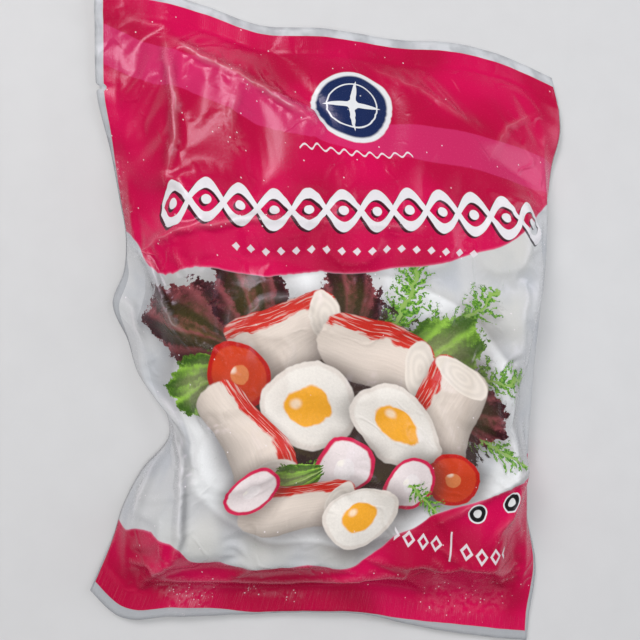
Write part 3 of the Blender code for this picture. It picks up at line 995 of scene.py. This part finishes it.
def drawStick(given, own, side):
    # a short rounded stick of fish paste with a red skin along its upper side and a pale cut end
    squareX, squareY = abs(side["X"]) ** 4, abs(side["Y"]) ** 4
    fibre = noise(calcVector("MULTIPLY", own, (1.2, 9, 1)), 1.6, 2, 0.6)
    uneven = given["Uneven"]
    away = uneven * 0.12 + (squareX + squareY) ** 0.25
    over = uneven * 0.5 + (fibre * 0.25 + side["Y"])
    skinFrom = 1.32 - given["SkinWidth"]
    skin = fade(over, skinFrom, skinFrom + 0.08)
    streak = fade(fibre, 0.52, 0.62) * 0.55
    colour = blendColour(skin, given["Body"], blendColour(streak, given["Skin"], given["Body"]))
    endPlace = calcVector("MULTIPLY", calcVector("SUBTRACT", own, (0.74, 0, 0)), (3.6, 1.05, 1))
    endAway = uneven * 0.2 + calcVector("LENGTH", endPlace)
    end = fade(endAway, 1.06, 0.98)
    rings = calc("SINE", endAway * 21) * 0.05 + 0.98
    fall = 1.08 - abs(side["Y"] - 0.25) ** 2 * 0.42
    level = fall * (fibre * 0.25 + 0.86)
    lit = calcVector("SCALE", colour, level)
    cut = calcVector("SCALE", given["Heart"], rings)
    colour = blendColour(end, lit, cut)
    return castShadow(given, own), colour, fade(away, 1.07, 1.03)


fields = {
    "crimson": (0.60, 0.002, 0.075, 1),
    "deepCrimson": (0.43, 0.002, 0.042, 1),
    "magenta": (0.64, 0.040, 0.18, 1),
    "white": (0.57, 0.577, 0.59, 1),
    "cool": (0.42, 0.45, 0.50, 1),
    "warm": (0.62, 0.60, 0.52, 1),
    "clear": (0.56, 0.58, 0.61, 1),
    "frosty": (0.76, 0.78, 0.81, 1),
    "upper": [
        (-112, 36), (-100, 33), (-90, 24), (-66, 23), (-45, 23), (-22, 26), (0, 28), (23, 31), (40, 35),
        (56, 42), (69, 48), (79, 56), (96, 70), (112, 84),
    ],
    "lower": [
        (-112, -106), (-103, -104), (-95, -99), (-80, -94), (-70, -97), (-63, -106), (-50, -107),
        (-17, -106), (1, -105), (11, -103), (19, -98), (26, -90), (36, -83), (43, -77), (56, -69),
        (68, -62), (81, -56), (92, -51), (112, -44),
    ],
    "bandOver": [(-112, 112), (-60, 96), (0, 84), (60, 79), (112, 82)],
    "bandUnder": [(-112, 130), (-60, 113), (0, 101), (60, 96), (112, 99)],
    "leftClear": [
        (-145, 0.5), (-90, 0.3), (-60, 0.2), (-20, 1.2), (0, 3.4), (14, 3.4), (26, 1.2), (60, 1.5),
        (92, 3.6), (145, 3.8),
    ],
    "rightClear": [(-145, 0.3), (-112, 2.0), (-80, 1.8), (-60, 0.3), (60, 0.3), (145, 0.6)],
    "bottomClear": [(-112, 4.6), (-60, 4.0), (-25, 0.8), (20, 0.8), (50, 2.5), (80, 4.4), (112, 4.6)],
    "topClear": [(-112, 4.2), (-40, 3.9), (30, 3.9), (70, 4.3), (112, 4.5)],
}


def fieldsGroup():
    # the pouch's ground print: crimson above and below a white field, with a paler band, and
    # unprinted film along the edges
    inputs = [("Place", "Vector", (0, 0, 0)), ("Contact", "Float", 0.0)]
    outputs = [("Colour", "Color"), ("Ink", "Float"), ("Clear", "Float")]
    group, given, made = newGroup("colourFields", inputs, outputs)
    side = split(given["Place"])
    across, up, tall = (-112, 112), (-145, 145), (-150, 170)
    lines = ("upper", "lower", "bandOver", "bandUnder")
    line = {key: readCurve(side["X"], fields[key], across, tall) for key in lines}
    soft = 0.35

    def above(key):
        return fade(side["Y"] - line[key], -soft, soft)

    ink = highest(above("upper"), 1 - above("lower"))
    halo = highest(*(fade(abs(side["Y"] - line[key]), 1.1, 0.1) for key in ("upper", "lower"))) * 0.35
    band = above("bandOver") * (1 - above("bandUnder"))
    # the crimson is mottled darker and brighter at random: partly uneven ink, partly painted shade
    mottle = noise(given["Place"], 0.018, 2)
    red = blendColour(fade(mottle, 0.38, 0.62), fields["deepCrimson"], fields["crimson"])
    red = blendColour(band * 0.5, red, fields["magenta"])
    red = blendColour(halo, red, (0.72, 0.2, 0.36, 1))
    cloud = noise(given["Place"], 0.05, 2)
    pale = blendColour(fade(cloud, 0.42, 0.68) * 0.5, fields["white"], fields["cool"])
    pale = blendColour(given["Contact"] * 0.35, pale, fields["warm"])
    colour = blendColour(ink, pale, red)
    clear = []
    edgesAway = (
        ("leftClear", side["Y"], up, side["X"] - across[0]),
        ("rightClear", side["Y"], up, across[1] - side["X"]),
        ("bottomClear", side["X"], across, side["Y"] - up[0]),
        ("topClear", side["X"], across, up[1] - side["Y"]),
    )
    for key, along, span, away in edgesAway:
        width = readCurve(along, fields[key], span, (0, 6))
        clear.append(fade(width - away, -0.1, 0.1))
    clear = highest(*clear)
    frosty = noise(given["Place"], 0.1, 2, 0.5)
    frosty = fade(frosty, 0.3, 0.6) * fade(side["Y"], 60, 142)
    colour = blendColour(clear, colour, blendColour(frosty, fields["clear"], fields["frosty"]))
    plug(made["Colour"], colour)
    plug(made["Ink"], ink)
    plug(made["Clear"], clear * (frosty * -0.2 + 1.0))
    return group


def braidGroup():
    # a white two-strand braid with an eye in each loop and a black shadow to its lower left
    settings = {
        "from": -84,
        "to": 92,
        "loop": 29.34,
        "swing": 7.4,
        "half": 2.2,
        "level": 55.2,
        "rise": 0.0667,
    }
    group, given, made = newGroup("braidBand", printInputs, motifOutputs)

    def strands(shift):
        side = split(calcVector("ADD", given["Place"], (shift, shift, 0)))
        x = side["X"] - settings["from"]
        y = side["Y"] - (side["X"] * settings["rise"] + settings["level"])
        wave = calc("SINE", x * (math.tau / settings["loop"])) * settings["swing"]
        near = [abs(calc(way, y, wave)) for way in ("ADD", "SUBTRACT")]
        strand = fade(calc("MINIMUM", *near), settings["half"] + 0.15, settings["half"] - 0.15)
        eyeX = (calc("FRACT", x * (2 / settings["loop"])) - 0.5) * (settings["loop"] / 2)
        eye = fade(calcVector("LENGTH", join(eyeX, y)), 2.3, 2.0)
        return highest(strand, eye) * within(side["X"], settings["from"], settings["to"], 0.2)

    dark = blendColour(strands(0.95) * 0.92, given["Under"], (0.012, 0.008, 0.012, 1))
    finishMotif(given, made, blendColour(strands(0.0), dark, (0.74, 0.72, 0.75, 1)))
    return group


def starGroup():
    # a four-pointed star in a ring, for the middle of the round badge
    settings = {"ring": 11.2, "core": 2.6, "point": 10.5}
    group, given, made = newGroup("compassStar", motifInputs[:3], motifOutputs)
    own = calcVector("SUBTRACT", given["Place"], given["Centre"])
    side, away = split(own), calcVector("LENGTH", own)
    line = abs(away - settings["ring"])
    colour = blendColour(fade(line, 0.45, 0.25), given["Under"], offWhite)
    angle = calc("ARCTAN2", side["Y"], side["X"]) * (4 / math.tau)
    point = abs(calc("FRACT", angle) - 0.5) * 2
    reach = point ** 4 * settings["point"] + settings["core"]
    star = fade(away - reach, 0.15, -0.15)
    finishMotif(given, made, blendColour(star, colour, offWhite))
    return group


def marksGroup():
    # small white marks: a wavy line, a row of lozenges, and two runs of large ones with a bar between
    wave = {"span": (-18, 32), "level": 81.5, "swing": 1.1, "pace": 1.1}
    row = {"span": (-52, 58.5), "level": 37.5, "rise": 0.075, "period": 6.5}
    run = {
        "before": (25, 49),
        "after": (56, 80),
        "level": -90,
        "period": 7,
        "narrowing": 1.25,
        "size": 2.9,
        "bar": (52.1, 52.9),
        "barHalf": 7,
    }
    group, given, made = newGroup("smallMarks", printInputs, motifOutputs)
    side = split(given["Place"])

    def share(value, period):
        return abs(calc("FRACT", value / period) - 0.5) * period

    swing = calc("SINE", side["X"] * wave["pace"]) * wave["swing"]
    line = fade(abs(side["Y"] - (swing + wave["level"])), 0.55, 0.35)
    line = within(side["X"], *wave["span"]) * line
    level = side["Y"] - (side["X"] * row["rise"] + row["level"])
    lozenge = share(side["X"], row["period"]) + abs(level)
    lozenges = within(side["X"], *row["span"]) * fade(lozenge, 1.95, 1.6)
    fall = side["Y"] - run["level"]
    large = share(side["X"], run["period"]) * run["narrowing"] + abs(fall)
    stroke = fade(abs(large - run["size"]), 1.0, 0.75)
    spans = within(side["X"], *run["before"]) + within(side["X"], *run["after"])
    bar = within(side["X"], *run["bar"]) * within(fall, -run["barHalf"], run["barHalf"])
    runs = highest(stroke * spans, bar)
    marks = highest(line, lozenges, runs)
    marked = blendColour(marks * 0.9, given["Under"], (0.74, 0.7, 0.74, 1))
    finishMotif(given, made, marked)
    return group


filmLabels = ("Frost", "Crest", "Fused", "Away", "Sharpness", "Glint")


def wearAndPaintedLightGroup():
    # frost, rubbed crests, sharp creases and the film's fine relief, with painted highlights along the
    # crests and creases, painted glint specks, and painted shade on one side of each crease
    inputs = printInputs + [(label, "Float", 0.0) for label in ("Clear", *filmLabels)]
    outputs = [("Colour", "Color"), ("Roughness", "Float"), ("Alpha", "Float"), ("Height", "Float")]
    group, given, made = newGroup("filmWear", inputs, outputs)
    broad = noise(given["Place"], 0.06, 3)
    fine = noise(given["Place"], 1.1, 4, 0.65)
    grit = noise(given["Place"], 2.6, 2, 0.7)
    patchy = given["Frost"] * fade(noise(given["Place"], 0.35, 2), 0.36, 0.62)
    veil = patchy * (grit * 0.16 + 0.03)
    # white specks, gathered where the film is frosted: frost droplets and painted glints
    specks = []
    for scale, common, reach in ((0.45, 0.016, 0.19), (0.8, 0.004, 0.33)):
        cells = wiredNode("ShaderNodeTexVoronoi", {"Vector": given["Place"], "Scale": scale})
        chosen = split(Wire(cells.outputs["Color"]))["X"]
        share = patchy * 0.6 + common
        dot = fade(Wire(cells.outputs["Distance"]), reach, reach / 2)
        specks.append(dot * calc("LESS_THAN", chosen, share))
    speck = highest(*specks)
    # pale vertical streaks on the fused seal: frost and painted highlights on its ribs
    streaks = fade(noise(calcVector("MULTIPLY", given["Place"], (2.4, 0.05, 1)), 1.0, 2), 0.5, 0.75)
    streaks = streaks * (patchy * 0.6 + 0.05)
    veil = highest(veil, streaks * given["Fused"])
    # rubbed crests are whitened a little: worn ink and a painted highlight
    crest = given["Crest"] * fade(fine, 0.35, 0.65)
    sway = noise(given["Place"], 0.11, 2)
    signed = (sway - 0.5) * 3.2 + given["Away"]
    away = abs(signed)
    # painted shade on one side of each sharp crease
    creaseShade = fade(signed, 0.2, 1.8) * (given["Sharpness"] * 0.16)
    under = calcVector("SCALE", given["Under"], 1 - creaseShade)
    # a thin painted highlight along each crease, inside a softer painted glow
    wander = (fine - 0.5) * 0.8 + away
    line = fade(wander, 0.62, 0.1) * (given["Glint"] * fade(sway, 0.34, 0.62))
    line = line * 0.17 + fade(away, 2.6, 0.0) * (given["Glint"] * 0.1)
    # frost and rubbed ink, and the painted highlights and glints, are laid on in one pale colour
    pale = highest(speck * 0.75, line, veil, crest * 0.1)
    plug(made["Colour"], blendColour(pale, under, (0.82, 0.76, 0.8, 1)))
    plug(made["Roughness"], pale * 0.25 + (fine * 0.14 + 0.19))
    plug(made["Alpha"], 1 - given["Clear"] * 0.48)
    ribs = calc("SINE", split(given["Place"])["X"] * (math.tau / 0.9)) * given["Fused"]
    height = ribs * 1.3 + (fine + broad * 1.8)
    crinkle = abs(noise(given["Place"], 0.045, 1, 0.4) - 0.5)
    crinkle = fade(crinkle, 0.035, 0.0) * fade(broad, 0.46, 0.6)
    height = crinkle * 3.2 + height
    rounded = calc("SQRT", away * away + 0.04)
    ridge = (3.0 - calc("MINIMUM", rounded, 3.0)) * given["Sharpness"]
    plug(made["Height"], ridge * 1.8 + height)
    return group


def newMaterial(name, finish):
    material = bpy.data.materials.new(name)
    material.use_nodes = True
    tree = material.node_tree
    shader = tree.nodes["Principled BSDF"]
    for label, value in finish.items():
        shader.inputs[label].default_value = value
    return material, tree, shader


def readAttribute(tree, name, output):
    node = addNode(tree, "ShaderNodeAttribute", attribute_type="GEOMETRY", attribute_name=name)
    return Wire(node.outputs[output])


def objectPlace(tree):
    return Wire(addNode(tree, "ShaderNodeTexCoord").outputs["Object"])


def plugBump(shader, height, **settings):
    bump = wiredNode("ShaderNodeBump", {"Height": height, **settings})
    plug(shader.inputs["Normal"], Wire(bump.outputs["Normal"]))


groups = {
    "fields": fieldsGroup(),
    "braid": braidGroup(),
    "star": starGroup(),
    "marks": marksGroup(),
    "wear": wearAndPaintedLightGroup(),
    "slice": motifGroup("foodSlice", {"SkinWidth": 0.1, "HeartSize": 0.4, "Wobble": 0.1}, drawSlice),
    "leaf": motifGroup("saladLeaf", {"Frill": 0.3}, drawLeaf),
    "sprig": motifGroup("herbSprig", {"Leaflets": 7.0}, drawSprig),
    "stick": motifGroup("pasteStick", {"SkinWidth": 0.4}, drawStick),
}
filmFinish = {
    "Coat Weight": 0.12,
    "Coat Roughness": 0.16,
    "IOR": 1.42,
    "Specular IOR Level": 0.42,
    "Specular Tint": (0.90, 0.74, 0.96, 1),
}


def filmMaterial(name, drawPrint, clearEdge):
    material, tree, shader = newMaterial(name, filmFinish)
    place = calcVector("SCALE", readAttribute(tree, "printPlace", "Vector"), 1000.0)
    marks = {label: readAttribute(tree, label.lower(), "Fac") for label in filmLabels}
    contact = readAttribute(tree, "contact", "Fac")
    ground = useGroup(tree, groups["fields"], {"Place": place, "Contact": contact})
    colour = drawPrint(tree, place, ground["Colour"], ground["Ink"])
    inputs = {"Under": colour, "Place": place, "Clear": ground["Clear"], **marks}
    wornAndLit = useGroup(tree, groups["wear"], inputs)
    plug(shader.inputs["Base Color"], wornAndLit["Colour"])
    plug(shader.inputs["Roughness"], wornAndLit["Roughness"])
    if clearEdge:
        plug(shader.inputs["Alpha"], wornAndLit["Alpha"])
    plugBump(shader, wornAndLit["Height"], Strength=0.25, Distance=0.0004)
    return material


# each food's group, the colours of its body, skin and heart, and what else sets it apart
foods = {
    "bed": (
        "leaf", (0.030, 0.016, 0.012), (0.05, 0.05, 0.012), (0.02, 0.012, 0.01),
        {"Frill": 0.8, "Depth": 0.3},
    ),
    "darkLeaf": (
        "leaf", (0.060, 0.012, 0.018), (0.22, 0.055, 0.060), (0.09, 0.07, 0.02),
        {"Frill": 0.7, "Depth": 0.3},
    ),
    "greenLeaf": (
        "leaf", (0.07, 0.20, 0.018), (0.26, 0.46, 0.06), (0.42, 0.52, 0.20),
        {"Frill": 0.6, "Depth": 0.3},
    ),
    "sprig": (
        "sprig", (0.045, 0.16, 0.018), (0.20, 0.42, 0.05), (0.26, 0.42, 0.10),
        {"Leaflets": 5.0, "Depth": 0.25},
    ),
    "stick": ("stick", (0.70, 0.61, 0.54), (0.60, 0.03, 0.018), (0.76, 0.69, 0.62), {"SkinWidth": 0.5}),
    "egg": (
        "slice", (0.76, 0.72, 0.67), (0.68, 0.62, 0.57), (0.84, 0.38, 0.03),
        {"SkinWidth": 0.10, "HeartSize": 0.50},
    ),
    "radish": (
        "slice", (0.74, 0.66, 0.66), (0.56, 0.015, 0.07), (0.78, 0.72, 0.72),
        {"SkinWidth": 0.13, "HeartSize": 0.35},
    ),
    "tomato": (
        "slice", (0.55, 0.05, 0.015), (0.45, 0.012, 0.008), (0.66, 0.20, 0.07),
        {"SkinWidth": 0.14, "HeartSize": 0.30},
    ),
}
# what lies on the plate, from the back to the front: kind, centre, half sizes and turn
dish = [
    ("bed", (-2, -30), (62, 46), 6), ("darkLeaf", (-66, -2), (28, 19), 158),
    ("darkLeaf", (-42, 12), (24, 16), 118), ("sprig", (24, 12), (26, 13), 82),
    ("sprig", (46, 6), (30, 14), 52), ("darkLeaf", (0, 12), (22, 14), 95),
    ("greenLeaf", (-70, -26), (20, 13), 200), ("sprig", (62, -14), (28, 13), 18),
    ("sprig", (62, -38), (24, 12), -22), ("greenLeaf", (42, -6), (24, 16), 40),
    ("darkLeaf", (58, -28), (18, 13), -8), ("stick", (-26, -2), (26, 15), 26),
    ("stick", (14, -8), (26, 15), -16), ("tomato", (-50, -20), (15, 14), 20),
    ("stick", (44, -30), (25, 15), 62), ("egg", (-20, -32), (23, 19), 24),
    ("egg", (19, -40), (22, 18), -30), ("stick", (-52, -48), (25, 15), -58),
    ("tomato", (46, -60), (13, 12), 0), ("radish", (-8, -60), (15, 14), 10),
    ("greenLeaf", (-32, -66), (15, 9), 205), ("stick", (-22, -78), (25, 12), 6),
    ("radish", (26, -66), (13, 12), 40), ("egg", (8, -82), (17, 14), 15),
    ("sprig", (40, -74), (16, 8), -20), ("radish", (-46, -72), (12, 11), 60),
]


def drawMotifs(tree, place, colour, motifs):
    for kind, look in motifs:
        drawn = useGroup(tree, groups[kind], {"Under": colour, "Place": place, **look})
        colour, place = drawn["Colour"], drawn["Next"]
    return colour


flatLook = {"Turn": 0.0, "Depth": 0.0, "Wobble": 0.0, "Skin": offWhite}


def drawPicture(tree, place, colour, ink):
    # food on a plate, with the crimson field and its marks over it
    plate = {
        "Centre": (-2, -34, 0),
        "Size": (86, 62, 1),
        "Turn": 4.0,
        "Depth": 0.28,
        "Body": (0.60, 0.62, 0.64, 1),
        "Skin": (0.76, 0.77, 0.78, 1),
        "Heart": (0.50, 0.49, 0.50, 1),
        "SkinWidth": 0.16,
        "HeartSize": 0.70,
        "Wobble": 0.0,
    }
    grains = {
        "Uneven": noise(place, 0.12, 2),
        "Ruffle": noise(place, 0.32, 3, 0.7),
        "Grain": noise(place, 0.85, 3, 0.6),
    }
    motifs = [("slice", {**plate, **grains})]
    for kind, centre, size, turn in dish:
        group, *shades, look = foods[kind]
        shades = {label: (*shade, 1) for label, shade in zip(("Body", "Skin", "Heart"), shades)}
        layout = {"Centre": (*centre, 0), "Size": (*size, 1), "Turn": float(turn), "Depth": 0.6}
        motifs.append((group, {**layout, **shades, **look, **grains}))
    pictured = blendColour(ink, drawMotifs(tree, place, colour, motifs), colour)
    ring = {
        "Size": (4.6, 4.6, 1),
        "Body": (0.01, 0.01, 0.01, 1),
        "SkinWidth": 0.15,
        "HeartSize": 0.45,
        "Heart": (0.7, 0.7, 0.7, 1),
    }
    centres = ((62, -72, 0), (78, -66, 0))
    rings = [("slice", {**flatLook, **ring, "Centre": centre}) for centre in centres]
    return drawMotifs(tree, place, pictured, rings + [("marks", {})])


def drawHeading(tree, place, colour, ink):
    # the round badge, the white braid and the small marks
    badge = {
        "Centre": (8, 105, 0),
        "Size": (18.5, 18.5, 1),
        "Body": (0.010, 0.022, 0.085, 1),
        "SkinWidth": 0.12,
        "HeartSize": 0.0,
    }
    star = {"Centre": badge["Centre"]}
    motifs = [("slice", {**flatLook, **badge}), ("star", star), ("braid", {}), ("marks", {})]
    return drawMotifs(tree, place, colour, motifs)


def drawNothing(tree, place, colour, ink):
    return colour


def addCamera():
    # looks down on the pouch, a little from its left, with the pouch turned 3 degrees
    settings = {
        "place": (-0.034, 0.008, 0.33),
        "aim": (-0.002, 0.0036, 0.010),
        "turn": 3.2,
        "lens": 39.0,
    }
    camera = bpy.data.objects.new("Camera", bpy.data.cameras.new("Camera"))
    camera.data.sensor_width = 36
    camera.data.lens = settings["lens"]
    camera.data.clip_start = 0.01
    place, aim = Vector(settings["place"]), Vector(settings["aim"])
    turn = math.radians(settings["turn"])
    away = (place - aim).normalized()
    right = Vector((-math.sin(turn), math.cos(turn), 0)).cross(away).normalized()
    up = away.cross(right)
    camera.matrix_world = Matrix.Translation(place) @ Matrix((right, up, away)).transposed().to_4x4()
    bpy.context.scene.collection.objects.link(camera)
    bpy.context.scene.camera = camera


def addLight(name, place, aim, size, power, colour, reflected=True):
    light = bpy.data.lights.new(name, "AREA")
    light.shape = "RECTANGLE"
    light.size, light.size_y = size
    light.energy = power
    light.color = colour
    lamp = bpy.data.objects.new(name, light)
    lamp.location = place
    lamp.rotation_euler = (Vector(aim) - Vector(place)).to_track_quat("-Z", "Y").to_euler()
    lamp.visible_glossy = reflected
    bpy.context.scene.collection.objects.link(lamp)


def floorMaterial():
    material, tree, shader = newMaterial("paleFloor", {"Roughness": 0.75})
    speckle = noise(objectPlace(tree), 60.0, 3)
    plug(shader.inputs["Base Color"], blendColour(speckle, (0.6, 0.6, 0.61, 1), (0.64, 0.64, 0.65, 1)))
    return material


def addStage():
    bm = bmesh.new()
    bmesh.ops.create_grid(bm, x_segments=1, y_segments=1, size=3)
    mesh = bpy.data.meshes.new("floor")
    bm.to_mesh(mesh)
    bm.free()
    floor = bpy.data.objects.new("floor", mesh)
    mesh.materials.append(floorMaterial())
    bpy.context.scene.collection.objects.link(floor)
    world = bpy.data.worlds.new("studio")
    world.use_nodes = True
    world.node_tree.nodes["Background"].inputs["Color"].default_value = (0.80, 0.84, 0.90, 1)
    world.node_tree.nodes["Background"].inputs["Strength"].default_value = 0.17
    bpy.context.scene.world = world
    addLight("keyLight", (-0.60, 0.75, 0.90), (0, 0, 0), (0.6, 0.45), 9.5, (1.0, 0.98, 0.97))
    addLight("sideLight", (0.85, 0.25, 0.60), (0, 0, 0), (0.5, 0.9), 4.0, (0.93, 0.96, 1.0))
    addLight("overheadLight", (-0.05, -0.20, 1.20), (0, 0, 0), (0.8, 0.8), 7.5, (1.0, 0.99, 0.97), False)
    bpy.context.scene.view_settings.view_transform = "Standard"


def surimiMaterial():
    # pale, finely fibred fish paste with a red skin
    material, tree, shader = newMaterial("surimi", {"Roughness": 0.45, "Subsurface Weight": 0.15})
    place = calcVector("SCALE", objectPlace(tree), 1000.0)
    fibre = noise(calcVector("MULTIPLY", place, (0.12, 1.4, 1.4)), 1.0, 4, 0.6)
    patch = noise(place, 0.05, 2)
    flesh = blendColour(fibre, (0.62, 0.5, 0.4, 1), (0.8, 0.72, 0.63, 1))
    skin = blendColour(fade(fibre, 0.4, 0.6), (0.5, 0.02, 0.012, 1), (0.7, 0.16, 0.08, 1))
    plug(shader.inputs["Base Color"], blendColour(fade(patch, 0.52, 0.56), flesh, skin))
    plugBump(shader, fibre, Distance=0.0006)
    return material


def dress(piece, materials, node):
    for material in materials:
        piece.data.materials.append(material)
    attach(piece, "root")
    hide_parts(node)


def shareFaces(piece):
    # the picture's material on the faces of its box, and the clear-edged film on the seals
    mesh = piece.data
    flat = np.empty(len(mesh.vertices) * 3, np.float32)
    mesh.attributes["printPlace"].data.foreach_get("vector", flat)
    corners = np.empty(len(mesh.polygons) * 3, np.int32)
    mesh.polygons.foreach_get("vertices", corners)
    middle = flat.reshape(-1, 3)[corners.reshape(-1, 3)].mean(1) / mm
    x, y = middle[:, 0], middle[:, 1]
    left, right, low, high = pictureBox
    pictured = (x > left) & (x < right) & (y > low) & (y < high)
    width, height = film["panelSize"]
    sealed = (np.abs(x) > width / 2 / mm) | (np.abs(y) > height / 2 / mm)
    indices = np.where(sealed, 2, np.where(pictured, 1, 0)).astype(np.int32)
    mesh.polygons.foreach_set("material_index", indices)


addCamera()
addStage()
print("camera and stage are set")

headingFilm = filmMaterial("headingFilm", drawHeading, False)
pictureFilm = filmMaterial("pictureFilm", drawPicture, False)
edgeFilm = filmMaterial("edgeFilm", drawNothing, True)
plainFilm = filmMaterial("plainFilm", drawNothing, False)
print("materials are made")

frontPoints, frontStart = shapeFront()
frontPoints[1:-1, 1:-1] = pressCreases(frontPoints[1:-1, 1:-1])
print("front film has settled")
frontFilm = buildFilm("frontFilm", frontPoints, frontStart, True)
dress(frontFilm, [headingFilm, pictureFilm, edgeFilm], "front_panel")
shareFaces(frontFilm)

backPoints, backStart = shapeBack(frontPoints)
print("back film has settled")
backFilm = buildFilm("backFilm", backPoints, backStart, False)
dress(backFilm, [plainFilm], "back_panel")

for sealName, node in (
    ("sealTop", "seal_top"),
    ("sealBottom", "seal_bottom"),
    ("sealLeft", "seal_left"),
    ("sealRight", "seal_right"),
):
    dress(buildSeal(sealName, node), [edgeFilm], node)
print("seals are made")

surimi = surimiMaterial()
for name in chunkNames:
    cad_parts[name].material_slots[0].material = surimi
